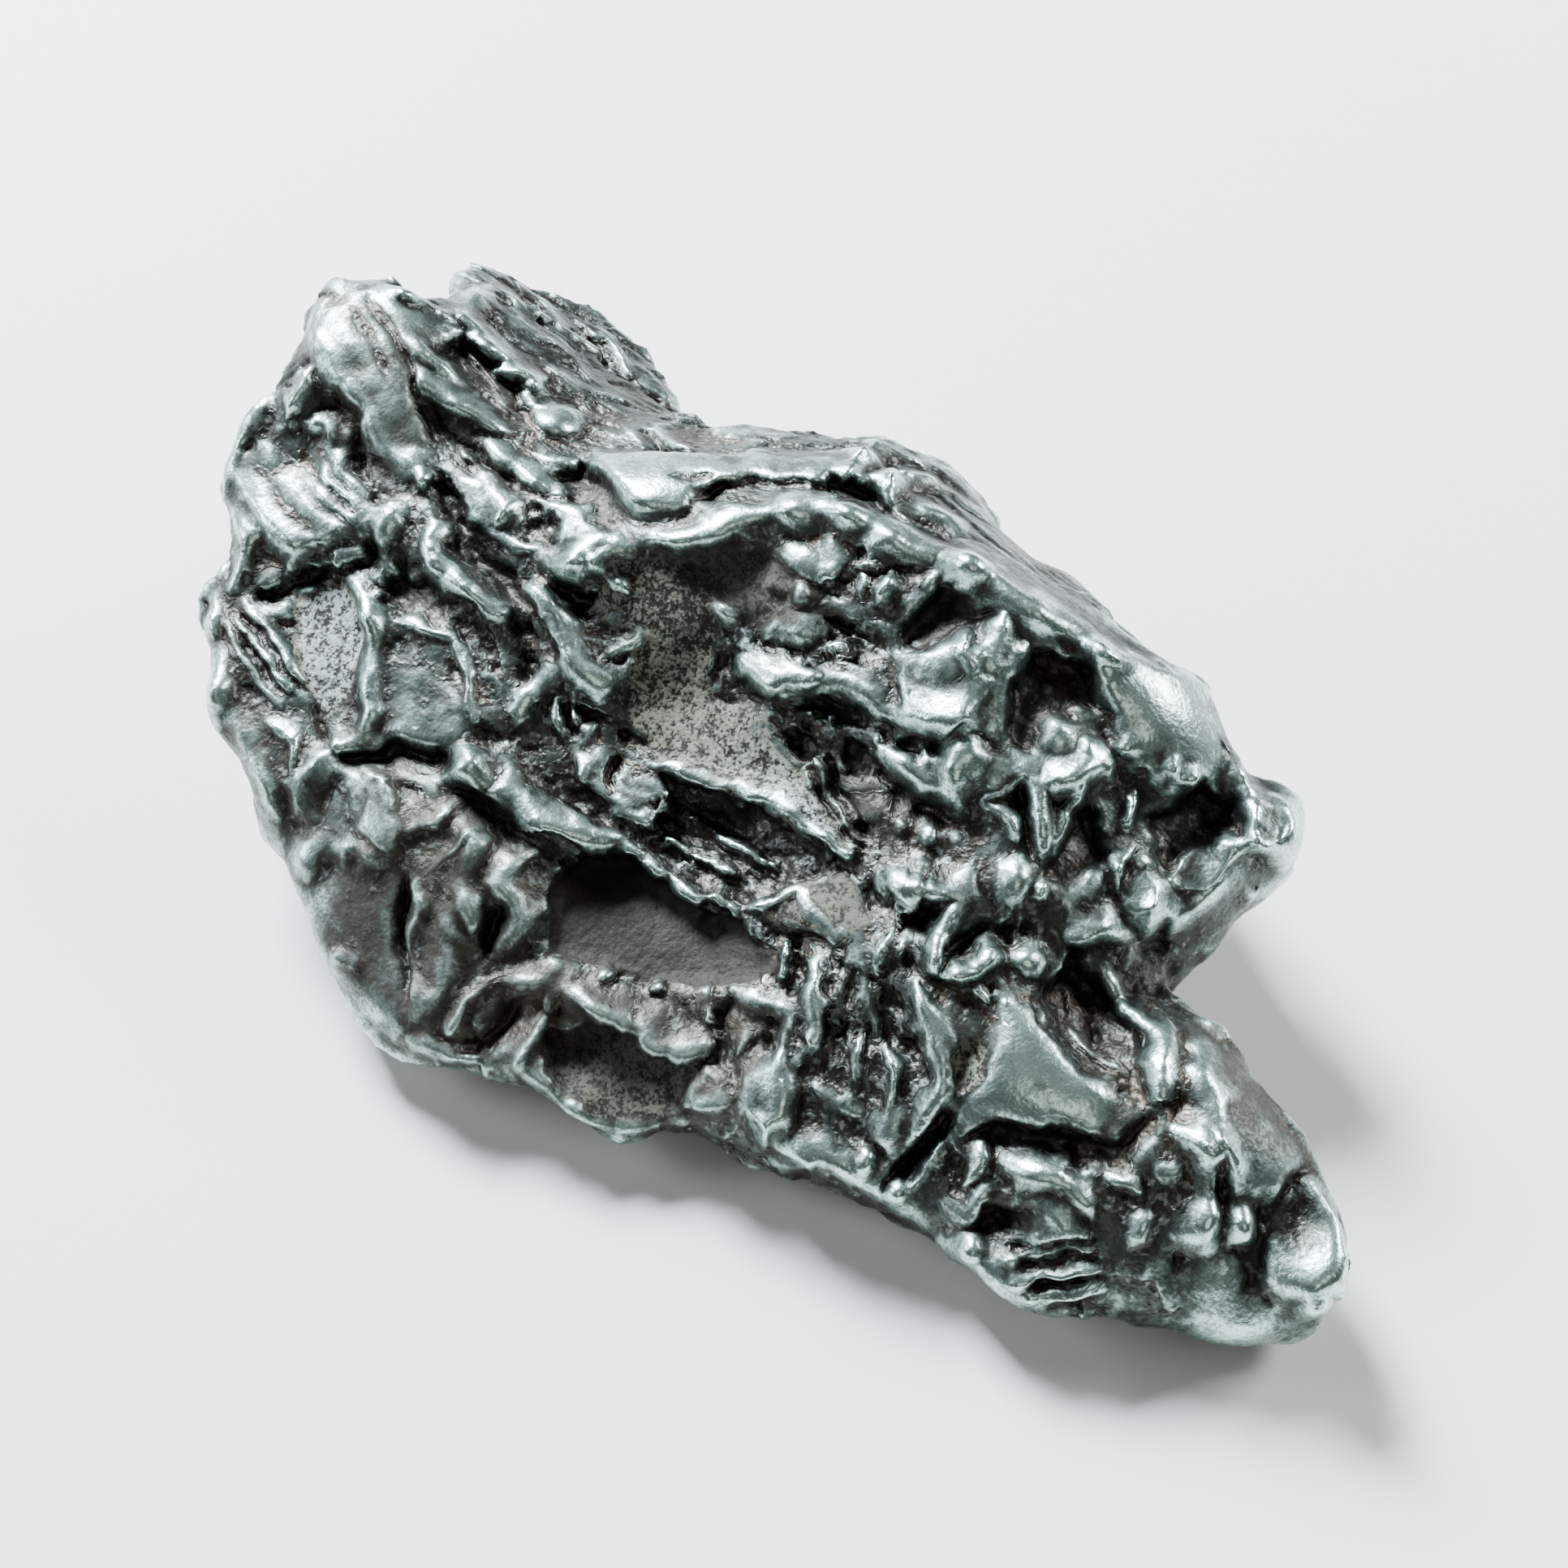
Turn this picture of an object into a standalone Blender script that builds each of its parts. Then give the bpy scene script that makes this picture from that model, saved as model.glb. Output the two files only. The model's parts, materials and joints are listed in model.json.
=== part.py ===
"""An iron meteorite: one knobbly lump of nickel-iron, lying on its broad side.

+X runs along the lump to its narrow tail, +Y to the high crest, +Z up.
The tables are in millimetres, in plan, and the finished solid is in metres.
"""

from itertools import product

import bpy
import numpy as np

NAME = "meteorite"
METRES_PER_MM = 0.001
DRAWING_CENTRE = (-2.0, -0.8)  # the plan point that stands over the origin

# The working mesh, in millimetres
SLAB_HALF = 3.0
RIM_STEPS = 3
SLAB_GRID = 0.75
BODY_GRID = 0.45
SKIN_GRID = 0.5
TRIANGLES = 9400
FOOT_BLOCK = (100.0, 80.0, 10.0)

# How the rounded rim joins the crown above to the keel below
RIM_WALL = 0.35
RIM_ROUND_LEAST = 1.3
RIM_ROUND_MOST = 2.8
RIM_ROUND_SHARE = 0.3

# The way that the upper face looks, out of the metal
FACE_WAY = np.array([0.482, -0.376, 0.791])
FACE_FROM, FACE_TO = 0.05, 0.4
TRACE_PASSES, TRACE_SHARE, TRACE_REACH = 6, 0.8, 4.0

# The way, in plan, that hollows rise from under the ledge above them
FLAKE_WAY = np.array([0.79, -0.61])

# Outline of the lump in plan, with the height of its rim, from the tail's tip along the -Y side
RIM = [
    (32.4, 5.2, 5.0), (33.2, 4.0, 3.5), (33.6, 2.5, 2.5), (31.8, -0.3, 2.0), (30.1, -1.6, 2.0),
    (28.3, -3.4, 2.4), (26.9, -5.5, 2.4), (25.2, -6.8, 2.5), (22.6, -7.3, 3.0), (20.3, -7.7, 3.0),
    (18.5, -8.1, 3.0), (16.8, -9.0, 3.0), (15.2, -10.1, 3.0), (13.6, -11.1, 3.0), (11.4, -12.0, 3.0),
    (10.4, -12.6, 3.0), (8.9, -13.9, 2.8), (8.1, -15.2, 2.6), (6.2, -16.6, 2.8), (2.8, -18.0, 2.8),
    (0.8, -19.4, 3.0), (-1.0, -20.6, 3.0), (-4.1, -21.8, 3.4), (-8.3, -21.7, 4.0),
    (-12.5, -21.2, 5.0), (-16.2, -20.6, 6.0), (-19.4, -19.8, 8.0), (-21.0, -20.1, 8.2),
    (-23.6, -18.5, 9.5), (-26.6, -17.0, 10.5), (-26.9, -15.9, 11.0), (-28.2, -14.4, 11.5),
    (-30.4, -13.3, 12.0), (-32.2, -12.4, 12.5), (-33.2, -10.6, 13.0), (-32.9, -8.0, 14.0),
    (-33.5, -6.5, 15.3), (-35.5, -4.4, 16.6), (-36.1, -2.9, 16.8), (-35.5, -1.2, 16.6),
    (-34.8, 0.4, 16.2), (-33.4, 1.2, 15.2), (-33.9, 2.2, 14.2), (-36.8, 4.4, 13.0),
    (-37.6, 6.9, 12.0), (-36.1, 9.2, 11.5), (-33.5, 10.9, 11.0), (-31.0, 11.9, 10.5),
    (-27.4, 11.9, 10.5), (-23.9, 10.8, 10.5), (-22.1, 9.2, 11.5), (-20.2, 9.6, 12.0),
    (-18.7, 11.1, 12.0), (-16.9, 12.6, 12.0), (-13.2, 13.6, 12.0), (-12.4, 14.9, 12.0),
    (-11.4, 16.5, 12.0), (-9.8, 18.0, 12.0), (-7.9, 18.8, 11.5), (-5.8, 18.8, 11.0),
    (-3.6, 18.0, 10.0), (-1.9, 19.5, 8.5), (0.2, 20.2, 8.0), (2.6, 19.8, 7.6), (4.8, 18.4, 7.2),
    (7.2, 17.5, 7.0), (9.2, 18.5, 7.0), (11.2, 18.5, 7.0), (13.2, 17.5, 7.2), (15.0, 16.8, 8.0),
    (16.4, 17.3, 9.2), (17.9, 17.0, 9.3), (18.6, 15.6, 9.0), (18.4, 13.6, 8.0), (18.6, 11.5, 6.2),
    (18.7, 10.1, 4.4), (18.6, 8.6, 3.5), (20.8, 7.8, 3.0), (23.2, 7.9, 3.0), (25.8, 7.4, 3.0),
    (28.4, 6.9, 3.4), (30.6, 6.2, 4.0),
]

# Heights of the crown, the upper face, at points over the plan
CROWN = [
    (-32.6, -5.2, 19.5), (-31.1, -0.1, 19.0), (-27.6, -4.8, 18.0), (-22.0, -7.1, 15.5),
    (-23.3, 10.1, 12.5), (-34.0, 7.8, 13.8), (-27.0, 6.0, 14.5), (-22.3, 2.5, 15.5),
    (-24.6, -17.1, 11.5), (-29.8, -12.6, 14.0), (-27.8, -8.6, 15.5), (-20.3, -19.4, 9.5),
    (-19.0, -13.5, 11.5), (-3.0, -21.5, 4.5), (-12.9, -20.3, 6.5), (-16.8, -20.4, 8.5),
    (9.7, -13.1, 4.0), (2.9, -17.5, 4.5), (18.4, -8.2, 4.5), (25.6, -6.0, 4.0),
    (31.2, 3.6, 6.5), (32.8, 2.3, 3.8), (24.2, 0.4, 8.5), (24.2, 4.1, 9.5), (18.7, 5.4, 8.0),
    (17.1, -2.7, 9.0), (18.3, 15.2, 11.0), (11.1, 15.7, 15.0), (0.9, 10.1, 18.5),
    (6.3, 12.5, 17.0), (-11.0, 0.3, 17.0), (-6.0, 6.4, 18.5), (-7.6, 15.7, 15.5),
    (-2.9, 16.1, 14.0), (-14.2, 10.8, 15.5), (-5.6, -1.5, 12.0), (3.3, -0.9, 11.0),
    (0.6, -9.6, 7.5), (-13.1, -10.4, 11.5), (9.1, 4.0, 13.0), (14.7, 6.4, 12.0),
    (13.9, 9.8, 12.0), (10.6, -6.7, 8.0), (-9.1, -15.0, 9.5), (1.7, 19.2, 11.0),
]

# Heights of the keel, the hidden underside; what reaches below 0 is worn flat
KEEL = [
    (-36.5, 7.0, 10.0), (-35.0, -3.0, 12.0), (-32.0, -10.0, 9.5), (-27.0, -16.0, 8.0),
    (-30.0, 0.0, 8.0), (-28.0, 9.0, 8.0), (-24.0, -3.0, 4.5), (-20.0, -18.0, 5.0),
    (-21.0, 6.0, 5.5), (-15.0, -10.0, 1.7), (-15.0, -20.0, 3.4), (-14.0, 10.0, 4.5),
    (-10.0, -18.0, 2.2), (-12.0, -3.0, 0.0), (-6.0, 14.0, 4.5), (0.0, -19.0, 1.8),
    (0.0, -8.0, 0.0), (0.0, 3.0, -0.5), (0.0, 12.0, 1.6), (0.0, 18.0, 4.5),
    (8.0, -13.0, 1.4), (10.0, -3.0, -0.3), (8.0, 7.0, 0.0), (10.0, 14.0, 2.4),
    (17.0, 14.0, 5.5), (18.0, -6.0, 1.1), (20.0, 1.0, 0.1), (22.0, 6.0, 1.0),
    (28.0, -2.0, 1.0), (28.0, 5.0, 1.2), (32.0, 3.0, 1.2),
]
PLATE_STIFFNESS = 4.0

# Facets and hollows of the crown: step up or down, its rise along FLAKE_WAY, width of the edge, corners
FACETS = {
    "front lobe plate": (0.3, 0.0, 0.9, [(-33, -1.5), (-29, -1), (-26, -3), (-26, -5), (-33, -4.8)]),
    "furrow between lobes": (-1.1, 0.25, 0.9, [
        (-29, 0.9), (-28, 1.2), (-27.4, 2), (-26.4, 1), (-25.4, 1.9), (-24, 1.2), (-22.4, 0.8),
        (-22, 0.2), (-24, -0.9), (-28, -1)]),
    "ring plate": (0.4, 0.0, 0.6, [
        (-21.1, -4.5), (-20.4, -2.7), (-16, -1.2), (-12.6, -1), (-13.2, -3), (-15.9, -4.5), (-18.9, -5.1)]),
    "ring hollow": (-0.7, 0.2, 0.6, [
        (-17.4, -2.3), (-15.6, -2.2), (-14.9, -3), (-15.4, -3.8), (-16.8, -3.8)]),
    "pit beside furrow": (-1.0, 0.3, 0.8, [
        (-18.5, 1.3), (-16, 1), (-13, 0.9), (-13, -0.9), (-16, -0.8), (-18.5, -0.4)]),
    "crest left plate": (0.7, 0.05, 0.6, [
        (-18.2, 1.5), (-13.6, 1.2), (-11.1, 2.2), (-11.6, 3.4), (-10.6, 6), (-7.4, 8.6), (-6, 12.4),
        (-9.4, 12.4), (-14.4, 5.6), (-17.7, 3.2)]),
    "second lump shade": (-0.4, 0.15, 0.9, [(-18, 9.5), (-16, 8), (-14, 5.8), (-15.5, 5.6), (-18.6, 7)]),
    "left shoulder": (0.4, 0.0, 0.9, [
        (-29.3, -7.9), (-23, -8.2), (-22.6, -9.6), (-24, -11), (-25, -13), (-27, -13.6), (-31, -12),
        (-30, -9.6)]),
    "smooth hollow": (-0.8, 0.25, 0.9, [
        (-20, -8.6), (-18, -8.6), (-15.6, -8.2), (-16.5, -9.4), (-18, -10.4), (-20, -10.4)]),
    "left speckled plate": (-0.3, 0.1, 0.7, [
        (-23.1, -13.9), (-21.2, -11.6), (-18.6, -12.2), (-16.9, -14.1), (-16.4, -16.1), (-19.4, -15.7)]),
    "olive plate": (0.25, 0.04, 0.8, [
        (-20.4, -11.2), (-18.8, -11.2), (-15.8, -10), (-10.6, -10.4), (-10.8, -12), (-12.9, -13.8),
        (-16.8, -13)]),
    "rim dome": (0.7, 0.0, 1.4, [
        (-15.5, -15.9), (-12.5, -15.4), (-9, -15.7), (-9, -18), (-12, -19.2), (-15.5, -19)]),
    "hollow behind crest": (-0.8, 0.25, 0.8, [
        (-7.6, 9), (-6.8, 9.8), (-5.5, 10.2), (-3.2, 9.7), (-3.8, 8.8), (-6, 8), (-7, 8.3)]),
    "recess under crest": (-0.35, 0.1, 0.9, [
        (-10.3, 0.3), (-9.6, 1.5), (-8.4, 2.7), (-6.4, 4.2), (-4.8, 4.6), (-3.8, 3.1), (-4.8, 1.9),
        (-7.4, 1.3), (-9.4, 0.9)]),
    "central speckled plate": (0.25, 0.05, 0.6, [
        (-11.7, -1.4), (-11.1, -3.4), (-9, -2.4), (-7, -4.4), (-3.8, -4.5), (0.4, -2.8), (6.2, -0.9),
        (3.3, -0.2), (-1, 0.3), (-3.9, -0.8), (-5.3, -0.3), (-5.9, 0.8), (-7.4, 1.3), (-9.4, 0.9)]),
    "terrace": (0.7, 0.0, 0.7, [(-4.7, 1.6), (-3.2, 2), (-0.8, 2.4), (-1.6, 1), (-2.8, 0.4), (-4.2, 0.3)]),
    "tongue plate": (0.45, 0.1, 0.7, [
        (-7, -5), (-6, -5.4), (-4.6, -4.6), (-2.2, -5.3), (-2, -6.6), (-3.6, -7.8), (-6, -8),
        (-6.8, -6.6)]),
    "hollow under central ledge": (-0.15, 0.1, 0.8, [
        (-2.2, -8), (-1.7, -5.1), (1.4, -2.9), (4.4, -2.3), (5, -3.4), (4.2, -5.4), (2.9, -6.6),
        (-1.7, -7.7)]),
    "fallen facet": (0.2, 0.1, 0.6, [(4.6, -5.7), (5.2, -3.4), (6.6, -1.6), (9.4, -2.4), (8.7, -4.2)]),
    "great dark plate": (-0.8, 0.15, 0.8, [
        (-3.3, -11), (-1.8, -8.4), (2.7, -7.5), (5, -6.2), (7.6, -6.2), (7.4, -7.6), (5.4, -9.6),
        (2.6, -12), (-0.2, -14.2), (-2.4, -12.3)]),
    "rim pocket": (-0.8, 0.2, 0.7, [
        (2.6, -16), (3.6, -14.5), (5.4, -13), (8, -11.8), (8.9, -13), (8.6, -15), (6.8, -16.4),
        (3.8, -17)]),
    "window pit": (-0.9, 0.15, 0.8, [
        (1.1, 8.9), (2.4, 9.3), (3.5, 9.6), (3.3, 8), (3, 6.6), (2.2, 5.9), (1.1, 6)]),
    "saddle": (0.5, 0.0, 0.8, [
        (5.2, 10), (5.9, 9.2), (6.6, 7.9), (7.8, 6.6), (6.3, 5.6), (5.6, 6.6), (5.2, 8.2)]),
    "crest shield": (0.9, -0.03, 1.0, [
        (7, 12.6), (9.7, 15.3), (10.8, 16.8), (14, 15.7), (16, 14.8), (14, 13.9), (13.8, 12), (12, 11.1),
        (9.6, 11.4)]),
    "cavity under shield": (-1.1, 0.15, 1.0, [
        (14.1, 13), (14.4, 14), (15.6, 14.5), (16.8, 14.4), (16.7, 12.3), (16.3, 10), (15, 9.8),
        (14.2, 10.8)]),
    "pit beside arch": (-1.0, 0.25, 0.8, [
        (5.9, 10.2), (7.5, 11.7), (8.3, 11.8), (9.3, 11), (9.1, 10), (8.6, 9), (8.9, 7), (7.9, 6.6),
        (6.6, 8.4)]),
    "tall hollow": (-1.0, 0.15, 0.8, [
        (11.8, 8.5), (13.9, 8), (14.5, 7), (14.5, 5.6), (13.6, 4.6), (12.8, 5.2), (12.4, 6.6)]),
    "boulder": (0.6, 0.0, 0.8, [(6.6, 5.4), (8, 6), (9.2, 6.4), (9, 5), (8, 3.9), (6.8, 3.8)]),
    "brown facet": (0.3, 0.0, 0.6, [(10.4, 1.6), (11, 2.4), (12.4, 1.6), (11.4, 1)]),
    "notch flank": (-1.0, 0.1, 1.2, [(17.6, 8.4), (20.5, 7.6), (20.5, 5.4), (18, 5.2)]),
    "tail block": (0.9, -0.05, 0.9, [
        (16, 0), (18, 0), (19, 0.2), (22.2, 0.4), (22.6, -0.6), (20.9, -1.6), (19.8, -3), (18.9, -4.3),
        (18.4, -4.2), (18.3, -3), (17.5, -1.6)]),
    "tail crater": (-0.4, 0.0, 0.5, [
        (16.2, -2.6), (17.4, -2.2), (18.1, -3), (18, -3.9), (17, -3.9), (16.3, -3.2)]),
    "tail gully": (-1.0, 0.15, 1.0, [
        (16.4, 3.6), (18.2, 4.6), (19.5, 4.2), (21.5, 3.4), (22.8, 2.4), (23.2, 1.4), (22, 0.9),
        (19, 0.7), (17.2, 1)]),
    "tail outer flank": (-0.3, 0.0, 1.0, [
        (24, 5), (26, 3.8), (28, 3.2), (30, 3.9), (30.4, 5.4), (25, 6.4)]),
    "neck hollow": (-0.5, 0.0, 0.8, [(29.8, 1), (29.9, 2.4), (31, 2.2), (31.8, 1.6), (31, 0.8)]),
}

# Raised ridges and rolled edges of the crown: height, half width, line in plan
RIDGES = {
    "main crest": (1.1, 1.3, [
        (-11.3, 0), (-10.3, 1.2), (-8.8, 3.2), (-7.6, 5.5), (-6.8, 6.3), (-5.5, 7.3), (-4, 7.9),
        (-2, 8.7), (-0.5, 9.7), (2.5, 10.5), (5, 11.3), (7, 12.1), (8.2, 12.8), (9.3, 12)]),
    "front lobe edge": (0.8, 1.0, [(-33.8, -4.5), (-33, -5.6), (-29.3, -6.1), (-26, -5.8), (-22.2, -5.8)]),
    "lobe blade": (0.7, 0.7, [(-28.4, -1.9), (-27, -1.5), (-25.7, -1.2)]),
    "second lobe blade": (0.7, 0.7, [(-26.8, -2.9), (-24.8, -2), (-22.2, -0.9)]),
    "third lobe blade": (0.7, 0.7, [(-22, -1.9), (-20, -1.6), (-18, -1.3)]),
    "back lobe edge": (0.7, 0.9, [(-34.5, 6), (-33, 4.5), (-30.3, 2), (-27.2, 2.6), (-24.6, 2.6)]),
    "back lobe band": (0.5, 0.8, [(-34, 6.8), (-32, 6), (-30, 5)]),
    "back lobe far edge": (0.7, 0.8, [(-29, 12.5), (-26.5, 11.8), (-24.5, 11.3), (-22.2, 9.9)]),
    "crest left lower edge": (0.5, 0.8, [(-19, 2.6), (-16.5, 1.7), (-13.2, 1.1), (-11.4, 1.4)]),
    "shoulder rim": (0.7, 0.8, [(-31.6, -11.6), (-30, -13.4), (-27, -14), (-25.6, -16)]),
    "rim lobes": (0.6, 0.8, [(-25.8, -17.2), (-22.8, -18.7), (-20, -20.4)]),
    "knife ridge": (1.0, 0.8, [(-19.3, -7.6), (-18, -7.8), (-15, -7.1), (-13.9, -6.7)]),
    "hook ridge": (0.8, 0.8, [
        (-21, -11.5), (-17.5, -12), (-16.4, -13.3), (-15.2, -14), (-14.6, -14.7), (-14.4, -15.8)]),
    "crest recess curl": (0.8, 0.7, [(-5.6, 4.8), (-3.7, 5.3), (-3.5, 5.7), (-5, 6.3)]),
    "recess crumb ridge": (0.7, 0.8, [(-6.5, 1.2), (-5, 2.4), (-3.5, 2.8), (-2, 3.3)]),
    "second crumb ridge": (0.6, 0.7, [(-6, 3), (-4.5, 3.9), (-3.2, 4.6)]),
    "second terrace": (0.9, 0.8, [
        (-4.2, 0.8), (-2.8, 1), (-1.6, 1.5), (-0.6, 2.2), (0.4, 2.9), (1.5, 3.2), (2.6, 3.3), (3.8, 4)]),
    "lower roll": (0.9, 0.8, [(4.3, 3.5), (4.6, 2.7), (5.6, 2.6), (7, 3.5), (8.2, 4)]),
    "central ledge": (0.8, 0.65, [
        (6.3, -1.1), (4, -1.4), (2, -1.6), (0.8, -2.2), (0, -3), (-1.5, -3.8), (-3, -4.1), (-3.8, -4.8)]),
    "tongue ledge": (0.7, 0.7, [(-2.2, -8), (-1, -7.7), (1, -7.3), (2.3, -6.9), (2.8, -6.3), (4, -6.1)]),
    "spine over craters": (0.9, 0.8, [(-13.8, -3.3), (-12.8, -2.4), (-12.2, -1.7), (-11.2, -0.4)]),
    "spine beside plate": (0.9, 0.8, [
        (-14, -5), (-12, -4.8), (-10.5, -5.2), (-9.3, -5.5), (-8.2, -5), (-7.8, -4), (-8, -3.2)]),
    "crater wall": (0.6, 0.6, [(-10, -5.8), (-10.1, -7.9), (-9.6, -8.8)]),
    "great ledge": (1.1, 1.0, [
        (-10, -12.3), (-8, -11.5), (-6, -11.1), (-4.5, -10.5), (-3.6, -9.6), (-2.7, -8.4)]),
    "pocket ledge": (0.9, 0.8, [
        (-0.5, -16.2), (0.7, -15), (2, -14.3), (3.3, -13.6), (5, -12.8), (7.2, -11.5), (7.8, -10.7)]),
    "pocket rim": (0.7, 0.8, [(3, -17.8), (5, -17.2), (7, -16.5), (8.7, -14.7)]),
    "rim fold": (0.8, 0.9, [(-7.2, -13.9), (-6.2, -13.7), (-4.8, -15.5), (-3.6, -15.9)]),
    "rim buttress": (0.8, 1.0, [(-4.4, -16.6), (-3.4, -18), (-2.4, -20.2)]),
    "lower ridge": (0.8, 0.8, [(-4.4, -12), (-4.1, -14), (-2.2, -13.8), (-1.8, -15.6)]),
    "arch strut": (1.2, 0.8, [(3.4, 10), (4.3, 9.3), (5, 8.4), (5.3, 7.3), (5.6, 6.6)]),
    "bright column": (1.1, 0.9, [(11.6, 10.2), (11, 8.9), (10.6, 7.8), (10.3, 6.8)]),
    "shield finger": (0.6, 0.6, [(11.6, 12.8), (11.4, 11.2), (11, 10.4)]),
    "prong strut": (1.2, 0.8, [
        (16.1, 15.2), (16.9, 14.6), (17.4, 14), (17.2, 12.5), (16.8, 11), (16.6, 9.8)]),
    "prong blade": (1.0, 0.9, [(17.9, 13.2), (17.8, 11.5), (17.9, 10), (18.1, 8.6)]),
    "hollow wall": (0.7, 0.6, [(17, 6.7), (16.5, 6), (16.3, 5), (15.9, 4)]),
    "middle teeth": (0.8, 0.7, [(8.5, 6.5), (9.6, 6.7), (10.8, 6.4), (11.6, 5.8), (12.5, 5.3)]),
    "horn left": (0.9, 0.7, [(11.7, 0.8), (12, -0.3), (12.4, -1.2), (13.2, -1.8)]),
    "horn right": (0.8, 0.7, [(13.8, 1), (14.3, 0.2), (14.4, -0.6), (13.6, -1.7)]),
    "bright bar": (0.9, 0.8, [(8.2, -1), (9.5, -0.5), (10.3, 0.4), (11.2, 0.9)]),
    "worm a": (0.7, 0.6, [(8.8, -5.4), (10, -6.5), (11.2, -7), (11.8, -8.2)]),
    "worm b": (0.8, 0.7, [
        (13.2, -2.6), (14.5, -3.2), (16, -3.8), (16.9, -4.6), (17.2, -5.5), (17.6, -6.6)]),
    "worm c": (0.6, 0.6, [(7, -8.4), (10, -7.6), (11.1, -8.9)]),
    "tail flank edge": (0.8, 0.8, [
        (18, 5), (18.6, 4.5), (19.6, 4.6), (21, 4.4), (22, 4), (22.8, 3.1), (23.6, 2.7)]),
    "tail top": (0.7, 0.9, [(23.4, 4.1), (25.2, 4.3), (25.9, 3.5), (28.5, 2.9), (30.2, 3.4)]),
    "tail spur": (0.9, 0.8, [(25.2, 1.8), (26, 2.2), (27.3, 2), (28.2, 1.1), (28.5, 0.2), (28, -0.6)]),
    "striation a": (0.6, 0.7, [(21.2, -4.3), (23, -3.2), (25, -2.6)]),
    "striation b": (0.5, 0.6, [(22.2, -5), (24, -4), (25.4, -3.3)]),
    "tail rim": (0.7, 0.8, [(21.8, -7.9), (23, -7.4), (25.2, -7.1), (26.2, -6.2)]),
    "tail loop": (0.7, 0.6, [(21.3, -5.3), (21.5, -6.6), (20.4, -6.8)]),
    "lower right rim": (0.6, 0.8, [(13.4, -11), (15, -9.8), (17.6, -8.6), (20.4, -7.9)]),
}

# Grooves cut into the crown: depth, half width, line in plan
GROOVES = {
    "valley under blades": (0.9, 0.8, [(-25.5, -3.2), (-24, -3.5), (-22, -2.8), (-18.5, -2.2)]),
    "trench under lobe": (1.1, 0.9, [(-21.5, -5.2), (-17, -6), (-13.3, -5.5)]),
    "second lump slit": (0.8, 0.5, [(-19, 5.6), (-17.4, 5.2), (-15.5, 5.1)]),
    "pocket over shoulder": (1.0, 0.7, [(-29.6, -7.8), (-29, -6.8), (-27.5, -6.4), (-25, -7.6)]),
    "shoulder crack": (1.0, 0.6, [
        (-22.6, -9.3), (-21.5, -10), (-22, -11.5), (-23.8, -13.5), (-24.5, -14.8)]),
    "crack below olive plate": (1.4, 0.7, [
        (-9.8, -12.2), (-11.4, -13.2), (-12.7, -14), (-12.8, -15.2), (-14.5, -16.4)]),
    "gap under great ledge": (1.0, 0.8, [(-9.8, -13.2), (-7.6, -12.6), (-5.4, -12.2)]),
    "rim slot": (1.4, 0.6, [(-7.4, -17.2), (-5.4, -18.9), (-3.2, -20.3)]),
    "rim notch": (1.1, 0.7, [(0.8, -16), (0.9, -17.6), (0.4, -19.4)]),
    "slot beside ridge": (1.0, 0.6, [(-3.3, -14.2), (-3, -15.4), (-2.4, -16.4)]),
    "gap under terrace": (0.6, 0.5, [(-0.6, 1.2), (1, 2.2), (2.6, 2.3)]),
    "gap under roll": (0.7, 0.5, [(2.5, 1.7), (4.5, 1.8), (6, 2), (7.5, 2.8), (9, 3.2)]),
    "gap over terrace": (0.8, 0.6, [(-2, 4.2), (-0.6, 4.8), (0.6, 5.4), (1.6, 5.2)]),
    "spine gap": (0.9, 0.6, [(-13.2, -4), (-12.2, -3.4), (-10.8, -2.9)]),
    "dark crumb gap": (0.9, 0.8, [(-13.4, -6.2), (-12, -6.7), (-10.8, -7.4)]),
    "gap under teeth": (0.8, 0.5, [(9.8, 6.2), (11, 5.4), (12.4, 4.7)]),
    "horn gap": (1.0, 0.5, [(13.1, 1.4), (13.1, 0.2), (12.9, -0.9)]),
    "gap beside worm": (0.8, 0.6, [(14.4, 2.7), (14, 1.9), (13.6, 1.2)]),
    "tail slot": (1.3, 0.6, [(18.1, -4.8), (18.2, -6.4), (18, -8)]),
    "gap beside block": (1.0, 0.6, [(24, 1.6), (24.2, -0.4), (22, -2), (20.5, -3.3), (19.4, -4.8)]),
    "tail black gap": (1.0, 0.8, [(23.2, -4.4), (22.4, -5.6), (21.9, -6.6)]),
    "tail top slot": (0.8, 0.4, [(27, 2.4), (28, 1.8), (29, 1)]),
    "gap left of worm b": (0.8, 0.6, [(12.6, -3.6), (13.6, -4.4), (14.8, -4.4)]),
    "dark slot": (0.9, 0.6, [(10.6, -0.8), (11.2, -0.2), (11.3, 0.3)]),
}

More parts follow.
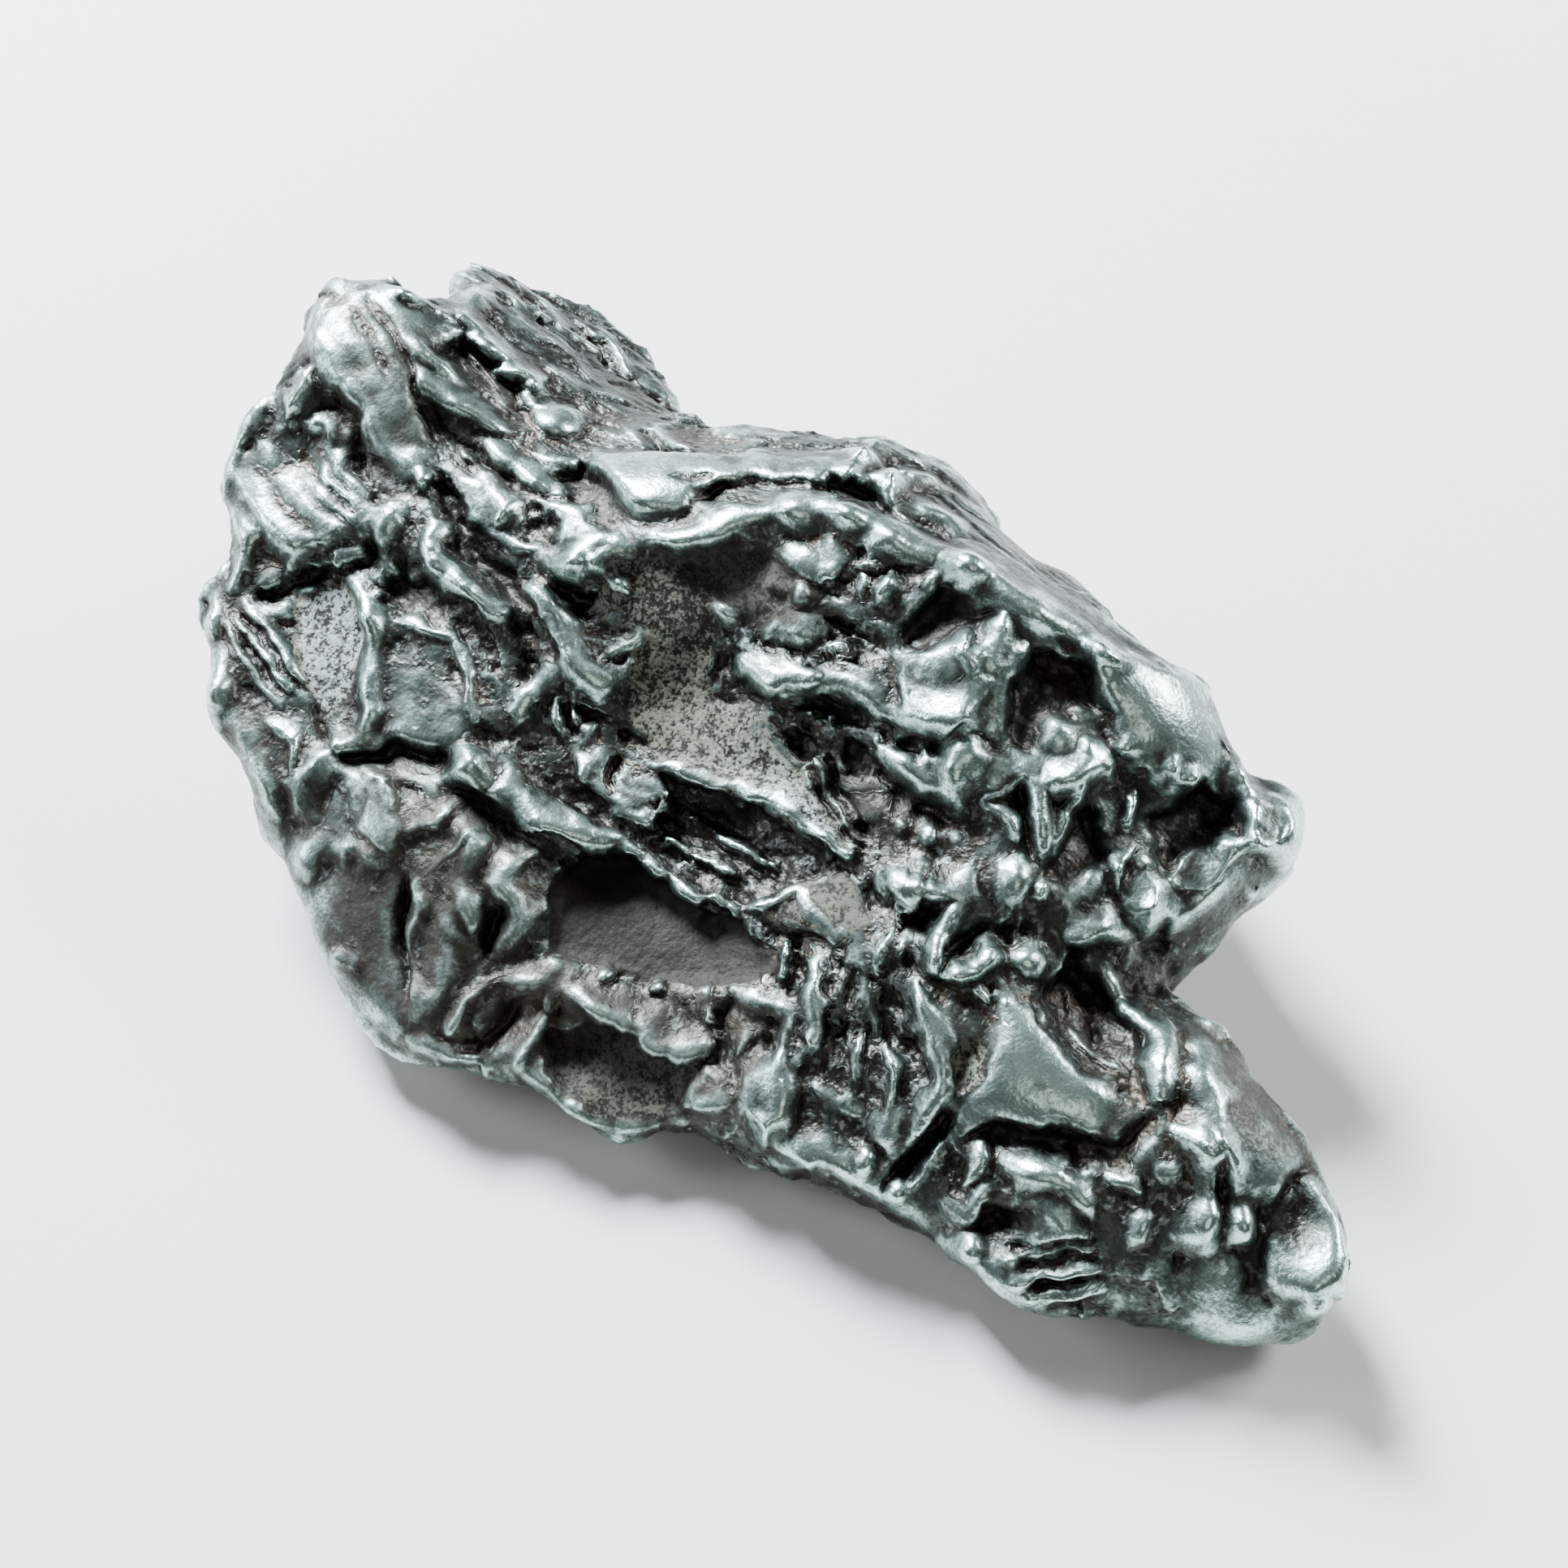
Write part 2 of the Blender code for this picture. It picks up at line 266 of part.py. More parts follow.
# Nubs and blobs of the crown: place in plan, radius, height
KNOBS = {
    "tail tip": (31.6, 3.9, 2.0, 1.5), "tail lower nub": (33.1, 2.8, 0.9, 0.8),
    "prong nub": (17.7, 15.3, 1.7, 1.4), "mirror blob": (4.2, 5.7, 2.0, 1.4),
    "rim knob": (11.6, -10.0, 2.0, 1.3), "lobe knob": (-32.0, -0.4, 1.2, 0.7),
    "gap nodule": (-22.1, 2.3, 1.6, 1.0), "shoulder bulb": (-22.1, -8.3, 1.3, 0.8),
    "crest knob": (0.9, 10.1, 1.4, 0.8), "prong foot": (16.8, 8.2, 1.4, 1.0),
    "plate blob": (-9.5, -12.3, 1.3, 0.8), "triangle bump": (9.4, -11.8, 1.4, 0.8),
    "tail nodule": (29.4, 1.8, 0.9, 0.5), "right nodule": (15.4, 1.9, 0.9, 0.7),
    "horn blob": (14.1, 0.6, 0.9, 0.6), "back lump top": (-7.0, 15.0, 2.4, 0.8),
    "second lump top": (-16.0, 10.0, 2.2, 0.7), "left dome": (-33.0, -10.6, 1.8, 0.7),
    "oval blob": (12.7, 3.4, 1.1, 0.8), "white nub": (9.2, 8.7, 0.8, 0.5),
    "middle blob": (7.0, 5.0, 1.2, 0.7), "low blob": (11.2, -2.3, 0.9, 0.5),
    "loop blob": (16.2, -6.8, 1.0, 0.6), "rim blob": (-12.2, -20.0, 1.1, 0.6),
}

# The ways that the worn flats look
LEFT_WAY, MIDDLE_WAY, SHIELD_WAY = (0.0, -0.1, 1.0), (-0.20, -0.25, 0.95), (-0.26, -0.31, 0.91)
BLOCK_WAY, TIP_WAY, LOW_WAY = (-0.29, -0.18, 0.94), (-0.38, -0.22, 0.90), (0.0, -0.63, 0.77)

# Spots worn flat: place in plan, radius, depth, and the way that the flat looks
WORN_FLATS = {
    "mirror blob": (4.2, 5.7, 2.3, 0.6, MIDDLE_WAY), "tail tip": (31.5, 3.9, 2.5, 0.8, TIP_WAY),
    "prong nub": (17.9, 15.4, 1.5, 0.3, SHIELD_WAY), "tail block": (18.8, -1.6, 2.4, 0.35, BLOCK_WAY),
    "shield edge": (14.4, 14.6, 2.0, 0.25, SHIELD_WAY), "shield": (10.8, 13.5, 2.8, 0.35, SHIELD_WAY),
    "prong blade": (17.9, 11.2, 1.7, 0.3, SHIELD_WAY), "prong foot": (16.8, 8.4, 1.3, 0.3, SHIELD_WAY),
    "shoulder": (-27.6, -10.6, 2.8, 0.3, LEFT_WAY), "lobe rim": (-31.5, -5.2, 1.8, 0.3, LEFT_WAY),
    "great ledge": (-7.6, -11.5, 1.7, 0.25, MIDDLE_WAY), "rim knob": (11.5, -9.6, 1.8, 0.4, LOW_WAY),
    "rim dome": (-12.4, -17.4, 2.4, 0.3, LOW_WAY), "low dome": (-3.6, -18.4, 1.8, 0.3, LOW_WAY),
}

# Waves that roughen the metal: wavelength and height, over all of it and where it is hidden
ROUGH_WAVES = [(5.0, 0.35), (2.6, 0.2)]
HIDDEN_WAVES = [(11.0, 0.8), (5.0, 0.6), (2.4, 0.35)]
CRUMB_WAVES = [(2.6, 0.3), (1.5, 0.22)]
CRUMB_SHARP = 3.0
WOBBLES = [(3.6, 0.4), (1.5, 0.22)]
LUMP_MEAN, LUMP_SHARP = 0.45, 2.0
WAVE_HEIGHT = 1.4
SEED_FAR, SEED_ACROSS, SEED_ALONG, SEED_UNEVEN, SEED_RAGGED = 37.0, 3.1, 8.7, 17.0, 5.5

# Shapes of the ridges, facets and flats
UNEVEN_SHARE, UNEVEN_LENGTH = 0.7, 2.1
CREST_ROUND = 0.012
GENTLE_SIDE, SIDE_FROM, SIDE_TO = 1.8, -0.2, 0.9
RIDGE_WIDER = 1.2
TAPER = 0.22
EDGE_SPREAD = 0.45
RAGGED, RAGGED_LENGTH = 0.35, 1.0
FLAT_SLOPE, FLAT_EDGE, FLAT_DOME = 0.8, 0.1, 0.05

# Directions and shuffled order of the noise's lattice
LATTICE = 256
shuffle = np.random.default_rng(5)
SLOPES = shuffle.normal(size=(LATTICE, 3))
SLOPES /= np.linalg.norm(SLOPES, axis=1)[:, None]
ORDER = shuffle.permutation(LATTICE)


def closed_curve(points, steps):
    """Points of a smooth loop through the given ones."""
    p = np.array(points, float)
    before, after, beyond = np.roll(p, 1, 0), np.roll(p, -1, 0), np.roll(p, -2, 0)
    rows = []
    for t in np.arange(steps) / steps:
        rows.append(0.5 * (2 * p + t * (after - before)
                           + t * t * (2 * before - 5 * p + 4 * after - beyond)
                           + t ** 3 * (3 * p - before - 3 * after + beyond)))
    return np.stack(rows, 1).reshape(-1, p.shape[1])


def line_distance(spots, line):
    """Distance in plan from each spot to a line, and the line's other values at the nearest point."""
    best = np.full(len(spots), np.inf)
    value = np.zeros((len(spots), line.shape[1] - 2))
    for a, b in zip(line[:-1], line[1:]):
        run = b[:2] - a[:2]
        share = np.clip((spots - a[:2]) @ run / max(run @ run, 1e-9), 0, 1)[:, None]
        off = np.linalg.norm(spots - a[:2] - share * run, axis=1)
        near = off < best
        best[near] = off[near]
        value[near] = (a[2:] + share * (b[2:] - a[2:]))[near]
    return best, value


def inside(spots, corners):
    """Which spots lie inside a polygon in plan."""
    within = np.zeros(len(spots), bool)
    x, y = spots.T
    for a, b in zip(corners, np.roll(corners, -1, 0)):
        crosses = (a[1] > y) != (b[1] > y)
        rise = b[1] - a[1] if b[1] != a[1] else 1e-9
        within ^= crosses & (x < (b[0] - a[0]) * (y - a[1]) / rise + a[0])
    return within


def close_to(spots, line, reach):
    """The numbers of the spots within the line's box, widened by reach."""
    low, high = line[:, :2].min(0) - reach, line[:, :2].max(0) + reach
    return np.flatnonzero(np.all((spots > low) & (spots < high), axis=1))


def ease(values, low, high):
    t = np.clip((values - low) / (high - low), 0, 1)
    return t * t * (3 - 2 * t)


def bend_weights(off):
    return np.where(off > 0, off ** 2 * np.log(off + 1e-12), 0.0)


class Sheet:
    """A smooth sheet over the plan, bent like a thin plate to pass near the given heights."""

    def __init__(self, points):
        self.at = np.array(points, float)
        count = len(self.at)
        off = np.linalg.norm(self.at[:, None, :2] - self.at[None, :, :2], axis=2)
        system = np.zeros((count + 3, count + 3))
        system[:count, :count] = bend_weights(off) + PLATE_STIFFNESS * np.eye(count)
        system[:count, count] = system[count, :count] = 1
        system[:count, count + 1:] = self.at[:, :2]
        system[count + 1:, :count] = self.at[:, :2].T
        self.weights = np.linalg.solve(system, np.append(self.at[:, 2], [0, 0, 0]))

    def height(self, spots):
        off = np.linalg.norm(spots[:, None, :] - self.at[None, :, :2], axis=2)
        count = len(self.at)
        bend = bend_weights(off) @ self.weights[:count]
        return bend + self.weights[count] + spots @ self.weights[count + 1:]


def wave(points, length, shift):
    """Smooth noise between -1 and 1 with the given wavelength."""
    at = points / length + shift
    cell = np.floor(at).astype(int)
    part = at - cell
    fade = part ** 3 * (part * (part * 6 - 15) + 10)
    total = np.zeros(len(at))
    for corner in product((0, 1), repeat=3):
        x, y, z = ((cell + corner) % LATTICE).T
        turn = ORDER[(ORDER[(ORDER[x] + y) % LATTICE] + z) % LATTICE]
        rise = np.einsum("ij,ij->i", SLOPES[turn], part - corner)
        total += rise * np.prod(np.where(corner, fade, 1 - fade), axis=1)
    return WAVE_HEIGHT * total


def vertices_of(body):
    co = np.empty(len(body.data.vertices) * 3, np.float32)
    body.data.vertices.foreach_get("co", co)
    return co.reshape(-1, 3).astype(float)


def move_vertices(body, co):
    body.data.vertices.foreach_set("co", co.astype(np.float32).ravel())
    body.data.update()


def normals_of(body):
    found = np.empty(len(body.data.vertices) * 3, np.float32)
    body.data.vertices.foreach_get("normal", found)
    return found.reshape(-1, 3).astype(float)


def apply_modifiers(body):
    bpy.ops.object.select_all(action="DESELECT")
    bpy.context.view_layer.objects.active = body
    body.select_set(True)
    for modifier in list(body.modifiers):
        bpy.ops.object.modifier_apply(modifier=modifier.name)


def remesh(body, grid):
    """Rebuilds the skin as even squares."""
    modifier = body.modifiers.new("even skin", "REMESH")
    modifier.mode = "VOXEL"
    modifier.voxel_size = grid
    apply_modifiers(body)


def slab(rim, collection):
    """A flat plate with the lump's outline."""
    outline = bpy.data.curves.new("outline", "CURVE")
    outline.dimensions = "2D"
    outline.fill_mode = "BOTH"
    outline.extrude = SLAB_HALF
    loop = outline.splines.new("POLY")
    loop.points.add(len(rim) - 1)
    for point, (x, y, _) in zip(loop.points, rim):
        point.co = (x, y, 0, 1)
    loop.use_cyclic_u = True
    body = bpy.data.objects.new(NAME, outline)
    collection.objects.link(body)
    bpy.context.view_layer.objects.active = body
    body.select_set(True)
    bpy.ops.object.convert(target="MESH")
    return bpy.context.view_layer.objects.active


def bend_to_form(body, rim, crown, keel):
    """Bends the plate's two faces to the crown and the keel, with a rounded rim between them."""
    co = vertices_of(body)
    spots = co[:, :2]
    off, rim_height = line_distance(spots, rim)
    rim_height = rim_height[:, 0]
    top, bottom = crown.height(spots), keel.height(spots)
    radius = np.clip(RIM_ROUND_SHARE * (top - bottom), RIM_ROUND_LEAST, RIM_ROUND_MOST)
    arch = np.sqrt(1 - (1 - np.clip(off / radius, 0, 1)) ** 2)
    share = np.clip(co[:, 2] / SLAB_HALF, -1, 1) * (RIM_WALL + (1 - RIM_WALL) * arch)
    half = np.where(share > 0, top - rim_height, rim_height - bottom)
    co[:, 2] = rim_height + share * half
    move_vertices(body, co)


def traced_spots(co, crown):
    """Where each point shows on the crown, looking back along FACE_WAY."""
    travel = np.zeros(len(co))
    for _ in range(TRACE_PASSES):
        spots = co[:, :2] + travel[:, None] * FACE_WAY[:2]
        gap = crown.height(spots) - (co[:, 2] + travel * FACE_WAY[2])
        travel = np.clip(travel + gap / FACE_WAY[2] * TRACE_SHARE, -TRACE_REACH, TRACE_REACH)
    return co[:, :2] + travel[:, None] * FACE_WAY[:2]


def facet_lift(spots, ragged):
    """Steps of the facets; a sunk one is deepest under the ledge above it."""
    lift = np.zeros(len(spots))
    for step, lean, edge, corners in FACETS.values():
        loop = np.array(corners + corners[:1], float)
        pick = close_to(spots, loop, edge + RAGGED)
        near = spots[pick]
        off, _ = line_distance(near, loop)
        signed = np.where(inside(near, loop[:-1]), off, -off) + ragged[pick]
        share = ease(signed, -edge * EDGE_SPREAD, edge * EDGE_SPREAD)
        depth = step + lean * (near - np.mean(corners, 0)) @ FLAKE_WAY
        lift[pick] += share * (np.minimum(depth, 0) if step < 0 else np.maximum(depth, 0))
    return lift


def ridge_lift(spots, lines, gentle=1):
    """Height of the ridges, whose ends taper.

    The side that rises from under the next ledge is gentler than the side that falls away,
    and a groove, with gentle at -1, has its steep side under the ledge.
    """
    lift = np.zeros(len(spots))
    for height, half_width, points in lines.values():
        steps = np.linalg.norm(np.diff(points, axis=0), axis=1)
        station = np.append(0, np.cumsum(steps)) / steps.sum()
        line = np.column_stack([points, station, points])
        width = half_width * RIDGE_WIDER
        pick = close_to(spots, line, width * GENTLE_SIDE)
        off, along = line_distance(spots[pick], line)
        side = gentle * (along[:, 1:] - spots[pick]) @ FLAKE_WAY / (off + 1e-9)
        taper = ease(np.minimum(along[:, 0], 1 - along[:, 0]), -TAPER, TAPER)
        reach = width * taper * (1 + (GENTLE_SIDE - 1) * ease(side, SIDE_FROM, SIDE_TO))
        tent = np.clip(1 - np.sqrt((off / reach) ** 2 + CREST_ROUND), 0, 1)
        lift[pick] = np.maximum(lift[pick], height * taper * tent)
    return lift


def knob_lift(spots):
    lift = np.zeros(len(spots))
    for x, y, radius, height in KNOBS.values():
        off = np.linalg.norm(spots - (x, y), axis=1)
        lift = np.maximum(lift, height * np.clip(1 - (off / radius) ** 2, 0, 1))
    return lift


def crumb(co):
    """Worm-like crests with pits between them."""
    return sum(size * (1 - CRUMB_SHARP * np.abs(wave(co, length, SEED_FAR * length)))
               for length, size in CRUMB_WAVES)


def grind(co, off, radius, depth, way):
    """Wears a high spot down to a low dome that looks the given way."""
    way = way / np.linalg.norm(way)
    pick = np.flatnonzero(off < radius)
    rise = co[pick] @ way
    top = np.percentile(rise[off[pick] < radius / 2], 95) - depth
    over = rise - top + FLAT_DOME * off[pick] ** 2 - FLAT_SLOPE * np.maximum(off[pick] - radius / 2, 0)
    co[pick] -= (FLAT_EDGE * np.logaddexp(0, over / FLAT_EDGE))[:, None] * way


def carve(body, crown):
    """Works the facets, ridges, grooves and knobs into the crown, and rough lumps into the hidden faces."""
    co, out = vertices_of(body), normals_of(body)
    facing = ease(out @ FACE_WAY, FACE_FROM, FACE_TO)
    spots = traced_spots(co, crown)
    for length, size in WOBBLES:
        spots = spots + size * np.stack([wave(co, length, SEED_ACROSS), wave(co, length, SEED_ALONG)], 1)
    uneven = 1 + UNEVEN_SHARE * wave(co, UNEVEN_LENGTH, SEED_UNEVEN)
    steps = facet_lift(spots, RAGGED * wave(co, RAGGED_LENGTH, SEED_RAGGED))
    ridges = ridge_lift(spots, RIDGES)
    lift = steps + uneven * ridges + knob_lift(spots) - ridge_lift(spots, GROOVES, -1)
    plain = np.clip(1 - ridges - np.abs(steps), 0, 1)
    co += (facing * lift)[:, None] * FACE_WAY + (facing * plain * crumb(co))[:, None] * out
    for length, size in ROUGH_WAVES:
        co += out * (size * wave(co, length, SEED_FAR))[:, None]
    for length, size in HIDDEN_WAVES:
        lumps = LUMP_MEAN - LUMP_SHARP * np.abs(wave(co, length, -SEED_FAR))
        co += out * ((1 - facing) * size * lumps)[:, None]
    for x, y, radius, depth, way in WORN_FLATS.values():
        grind(co, np.linalg.norm(spots - (x, y), axis=1), radius, depth, np.array(way))
    move_vertices(body, co)


def thin_out(body):
    """Drops the vertices that the flat stretches don't need."""
    body.data.calc_loop_triangles()
    modifier = body.modifiers.new("fewer triangles", "DECIMATE")
    modifier.ratio = min(1.0, TRIANGLES / len(body.data.loop_triangles))
    modifier.use_collapse_triangulate = True
    apply_modifiers(body)


def wear_foot_flat(body, helpers):
    """Cuts away what reaches below the surface that the lump rests on."""
    bpy.ops.mesh.primitive_cube_add(size=1, location=(0, 0, -FOOT_BLOCK[2] / 2))
    cutter = bpy.context.active_object
    cutter.name = "foot cutter"
    cutter.scale = FOOT_BLOCK
    cutter.display_type = "WIRE"
    cutter.hide_render = True
    for owner in list(cutter.users_collection):
        owner.objects.unlink(cutter)
    helpers.objects.link(cutter)
    modifier = body.modifiers.new("flat foot", "BOOLEAN")
    modifier.operation = "DIFFERENCE"
    modifier.solver = "EXACT"
    modifier.object = cutter
    apply_modifiers(body)
    bpy.data.objects.remove(cutter, do_unlink=True)


def to_metres(body):
    co = vertices_of(body)
    co[:, 0] -= DRAWING_CENTRE[0]
    co[:, 1] -= DRAWING_CENTRE[1]
    move_vertices(body, co)
    body.scale = (METRES_PER_MM,) * 3
    bpy.ops.object.transform_apply(location=False, rotation=False, scale=True)


def metal():
    material = bpy.data.materials.new("nickel iron")
    material.use_nodes = True
    shader = material.node_tree.nodes["Principled BSDF"]
    shader.inputs["Base Color"].default_value = (0.33, 0.33, 0.31, 1)
    shader.inputs["Metallic"].default_value = 1.0
    shader.inputs["Roughness"].default_value = 0.32
    return material


def new_collection(name):
    collection = bpy.data.collections.new(name)
    bpy.context.scene.collection.children.link(collection)
    return collection


def main():
    for obj in list(bpy.data.objects):
        bpy.data.objects.remove(obj, do_unlink=True)
    collection, helpers = new_collection(NAME), new_collection("helpers")
    rim = closed_curve(RIM, RIM_STEPS)
    crown, keel = Sheet(CROWN), Sheet(KEEL)
    body = slab(rim, collection)
    remesh(body, SLAB_GRID)
    bend_to_form(body, np.vstack([rim, rim[:1]]), crown, keel)
    remesh(body, BODY_GRID)
    carve(body, crown)
    remesh(body, SKIN_GRID)
    thin_out(body)
    wear_foot_flat(body, helpers)
    to_metres(body)
    body.name = body.data.name = NAME
    body.data.materials.clear()
    body.data.materials.append(metal())


main()
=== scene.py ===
"""The iron meteorite as it looks: worn bright ridges, speckled facets and dark hollows.

The tables are in millimetres, in plan, over the lump's own drawing; the finished pieces are in metres.
"""

import json
import math
from itertools import product

import bpy
import numpy as np
from mathutils import Matrix, Vector

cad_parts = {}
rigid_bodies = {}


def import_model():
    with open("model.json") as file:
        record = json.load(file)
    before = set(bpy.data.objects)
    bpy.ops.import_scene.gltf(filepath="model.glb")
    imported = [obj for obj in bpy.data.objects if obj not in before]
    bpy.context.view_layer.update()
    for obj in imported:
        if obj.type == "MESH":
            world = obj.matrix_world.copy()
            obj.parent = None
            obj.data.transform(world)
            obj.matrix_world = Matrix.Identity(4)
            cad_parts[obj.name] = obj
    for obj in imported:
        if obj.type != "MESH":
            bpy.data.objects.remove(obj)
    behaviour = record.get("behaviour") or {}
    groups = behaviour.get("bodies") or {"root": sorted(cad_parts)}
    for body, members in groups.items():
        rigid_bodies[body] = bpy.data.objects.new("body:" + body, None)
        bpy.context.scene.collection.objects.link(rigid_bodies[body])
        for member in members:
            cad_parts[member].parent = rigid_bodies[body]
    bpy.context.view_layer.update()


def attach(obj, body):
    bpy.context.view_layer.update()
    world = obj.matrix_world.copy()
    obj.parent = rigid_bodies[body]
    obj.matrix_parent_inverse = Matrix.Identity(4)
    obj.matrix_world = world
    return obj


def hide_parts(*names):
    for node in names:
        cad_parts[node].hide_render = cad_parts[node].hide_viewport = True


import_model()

PIECE = "meteorite_skin"
METRES_PER_MM = 0.001
TINY, LEAST_WEIGHT = 1e-9, 1e-6  # keep a division away from zero
DRAWING_CENTRE = (-2.0, -0.8)  # the plan point that stands over the origin

# The working mesh, in millimetres
SLAB_HALF = 3.0
RIM_STEPS = 3
SLAB_GRID = 0.6
BODY_GRID = 0.32
SKIN_GRID = 0.18
TRIANGLES = 192000

# How the rounded rim joins the crown above to the keel below
RIM_WALL = 0.35
RIM_ROUND_LEAST = 1.3
RIM_ROUND_MOST = 2.8
RIM_ROUND_SHARE = 0.3

# The way that the upper face looks, out of the metal
FACE_WAY = np.array([0.482, -0.376, 0.791])
FACE_FROM, FACE_TO = 0.05, 0.4

# The way, in plan, that flakes rise from under the ledge above them
FLAKE_WAY = np.array([0.79, -0.61])

# Outline of the lump in plan, with the height of its rim, from the tail's tip along the -Y side
RIM = [
    (32.4, 5.2, 5.0), (33.2, 4.0, 3.5), (33.6, 2.5, 2.5), (31.8, -0.3, 2.0), (30.1, -1.6, 2.0),
    (28.3, -3.4, 2.4), (26.9, -5.5, 2.4), (25.2, -6.8, 2.5), (22.6, -7.3, 3.0), (20.3, -7.7, 3.0),
    (18.5, -8.1, 3.0), (16.8, -9.0, 3.0), (15.2, -10.1, 3.0), (13.6, -11.1, 3.0), (11.4, -12.0, 3.0),
    (10.4, -12.6, 3.0), (8.9, -13.9, 2.8), (8.1, -15.2, 2.6), (6.2, -16.6, 2.8), (2.8, -18.0, 2.8),
    (0.8, -19.4, 3.0), (-1.0, -20.6, 3.0), (-4.1, -21.8, 3.4), (-8.3, -21.7, 4.0),
    (-12.5, -21.2, 5.0), (-16.2, -20.6, 6.0), (-19.4, -19.8, 8.0), (-21.0, -20.1, 8.2),
    (-23.6, -18.5, 9.5), (-26.6, -17.0, 10.5), (-26.9, -15.9, 11.0), (-28.2, -14.4, 11.5),
    (-30.4, -13.3, 12.0), (-32.2, -12.4, 12.5), (-33.2, -10.6, 13.0), (-32.9, -8.0, 14.0),
    (-33.5, -6.5, 15.3), (-35.5, -4.4, 16.6), (-36.1, -2.9, 16.8), (-35.5, -1.2, 16.6),
    (-34.8, 0.4, 16.2), (-33.4, 1.2, 15.2), (-33.9, 2.2, 14.2), (-36.8, 4.4, 13.0),
    (-37.6, 6.9, 12.0), (-36.1, 9.2, 11.5), (-33.5, 10.9, 11.0), (-31.0, 11.9, 10.5),
    (-27.4, 11.9, 10.5), (-23.9, 10.8, 10.5), (-22.1, 9.2, 11.5), (-20.2, 9.6, 12.0),
    (-18.7, 11.1, 12.0), (-16.9, 12.6, 12.0), (-13.2, 13.6, 12.0), (-12.4, 14.9, 12.0),
    (-11.4, 16.5, 12.0), (-9.8, 18.0, 12.0), (-7.9, 18.8, 11.5), (-5.8, 18.8, 11.0),
    (-3.6, 18.0, 10.0), (-1.9, 19.5, 8.5), (0.2, 20.2, 8.0), (2.6, 19.8, 7.6), (4.8, 18.4, 7.2),
    (7.2, 17.5, 7.0), (9.2, 18.5, 7.0), (11.2, 18.5, 7.0), (13.2, 17.5, 7.2), (15.0, 16.8, 8.0),
    (16.4, 17.3, 9.2), (17.9, 17.0, 9.3), (18.6, 15.6, 9.0), (18.4, 13.6, 8.0), (18.6, 11.5, 6.2),
    (18.7, 10.1, 4.4), (18.6, 8.6, 3.5), (20.8, 7.8, 3.0), (23.2, 7.9, 3.0), (25.8, 7.4, 3.0),
    (28.4, 6.9, 3.4), (30.6, 6.2, 4.0),
]

# Heights of the crown, the upper face, at points over the plan
CROWN = [
    (-32.6, -5.2, 19.5), (-31.1, -0.1, 19.0), (-27.6, -4.8, 18.0), (-22.0, -7.1, 15.5),
    (-23.3, 10.1, 12.5), (-34.0, 7.8, 13.8), (-27.0, 6.0, 14.5), (-22.3, 2.5, 15.5),
    (-24.6, -17.1, 11.5), (-29.8, -12.6, 14.0), (-27.8, -8.6, 15.5), (-20.3, -19.4, 9.5),
    (-19.0, -13.5, 11.5), (-3.0, -21.5, 4.5), (-12.9, -20.3, 6.5), (-16.8, -20.4, 8.5),
    (9.7, -13.1, 4.0), (2.9, -17.5, 4.5), (18.4, -8.2, 4.5), (25.6, -6.0, 4.0),
    (31.2, 3.6, 6.5), (32.8, 2.3, 3.8), (24.2, 0.4, 8.5), (24.2, 4.1, 9.5), (18.7, 5.4, 8.0),
    (17.1, -2.7, 9.0), (18.3, 15.2, 11.0), (11.1, 15.7, 15.0), (0.9, 10.1, 18.5),
    (6.3, 12.5, 17.0), (-11.0, 0.3, 17.0), (-6.0, 6.4, 18.5), (-7.6, 15.7, 15.5),
    (-2.9, 16.1, 14.0), (-14.2, 10.8, 15.5), (-5.6, -1.5, 12.0), (3.3, -0.9, 11.0),
    (0.6, -9.6, 7.5), (-13.1, -10.4, 11.5), (9.1, 4.0, 13.0), (14.7, 6.4, 12.0),
    (13.9, 9.8, 12.0), (10.6, -6.7, 8.0), (-9.1, -15.0, 9.5), (1.7, 19.2, 11.0),
]

# Heights of the keel, the hidden underside; what reaches below 0 is worn flat
KEEL = [
    (-36.5, 7.0, 10.0), (-35.0, -3.0, 12.0), (-32.0, -10.0, 9.5), (-27.0, -16.0, 8.0),
    (-30.0, 0.0, 8.0), (-28.0, 9.0, 8.0), (-24.0, -3.0, 4.5), (-20.0, -18.0, 5.0),
    (-21.0, 6.0, 5.5), (-15.0, -10.0, 1.7), (-15.0, -20.0, 3.4), (-14.0, 10.0, 4.5),
    (-10.0, -18.0, 2.2), (-12.0, -3.0, 0.0), (-6.0, 14.0, 4.5), (0.0, -19.0, 1.8),
    (0.0, -8.0, 0.0), (0.0, 3.0, -0.5), (0.0, 12.0, 1.6), (0.0, 18.0, 4.5),
    (8.0, -13.0, 1.4), (10.0, -3.0, -0.3), (8.0, 7.0, 0.0), (10.0, 14.0, 2.4),
    (17.0, 14.0, 5.5), (18.0, -6.0, 1.1), (20.0, 1.0, 0.1), (22.0, 6.0, 1.0),
    (28.0, -2.0, 1.0), (28.0, 5.0, 1.2), (32.0, 3.0, 1.2),
]
PLATE_STIFFNESS = 4.0

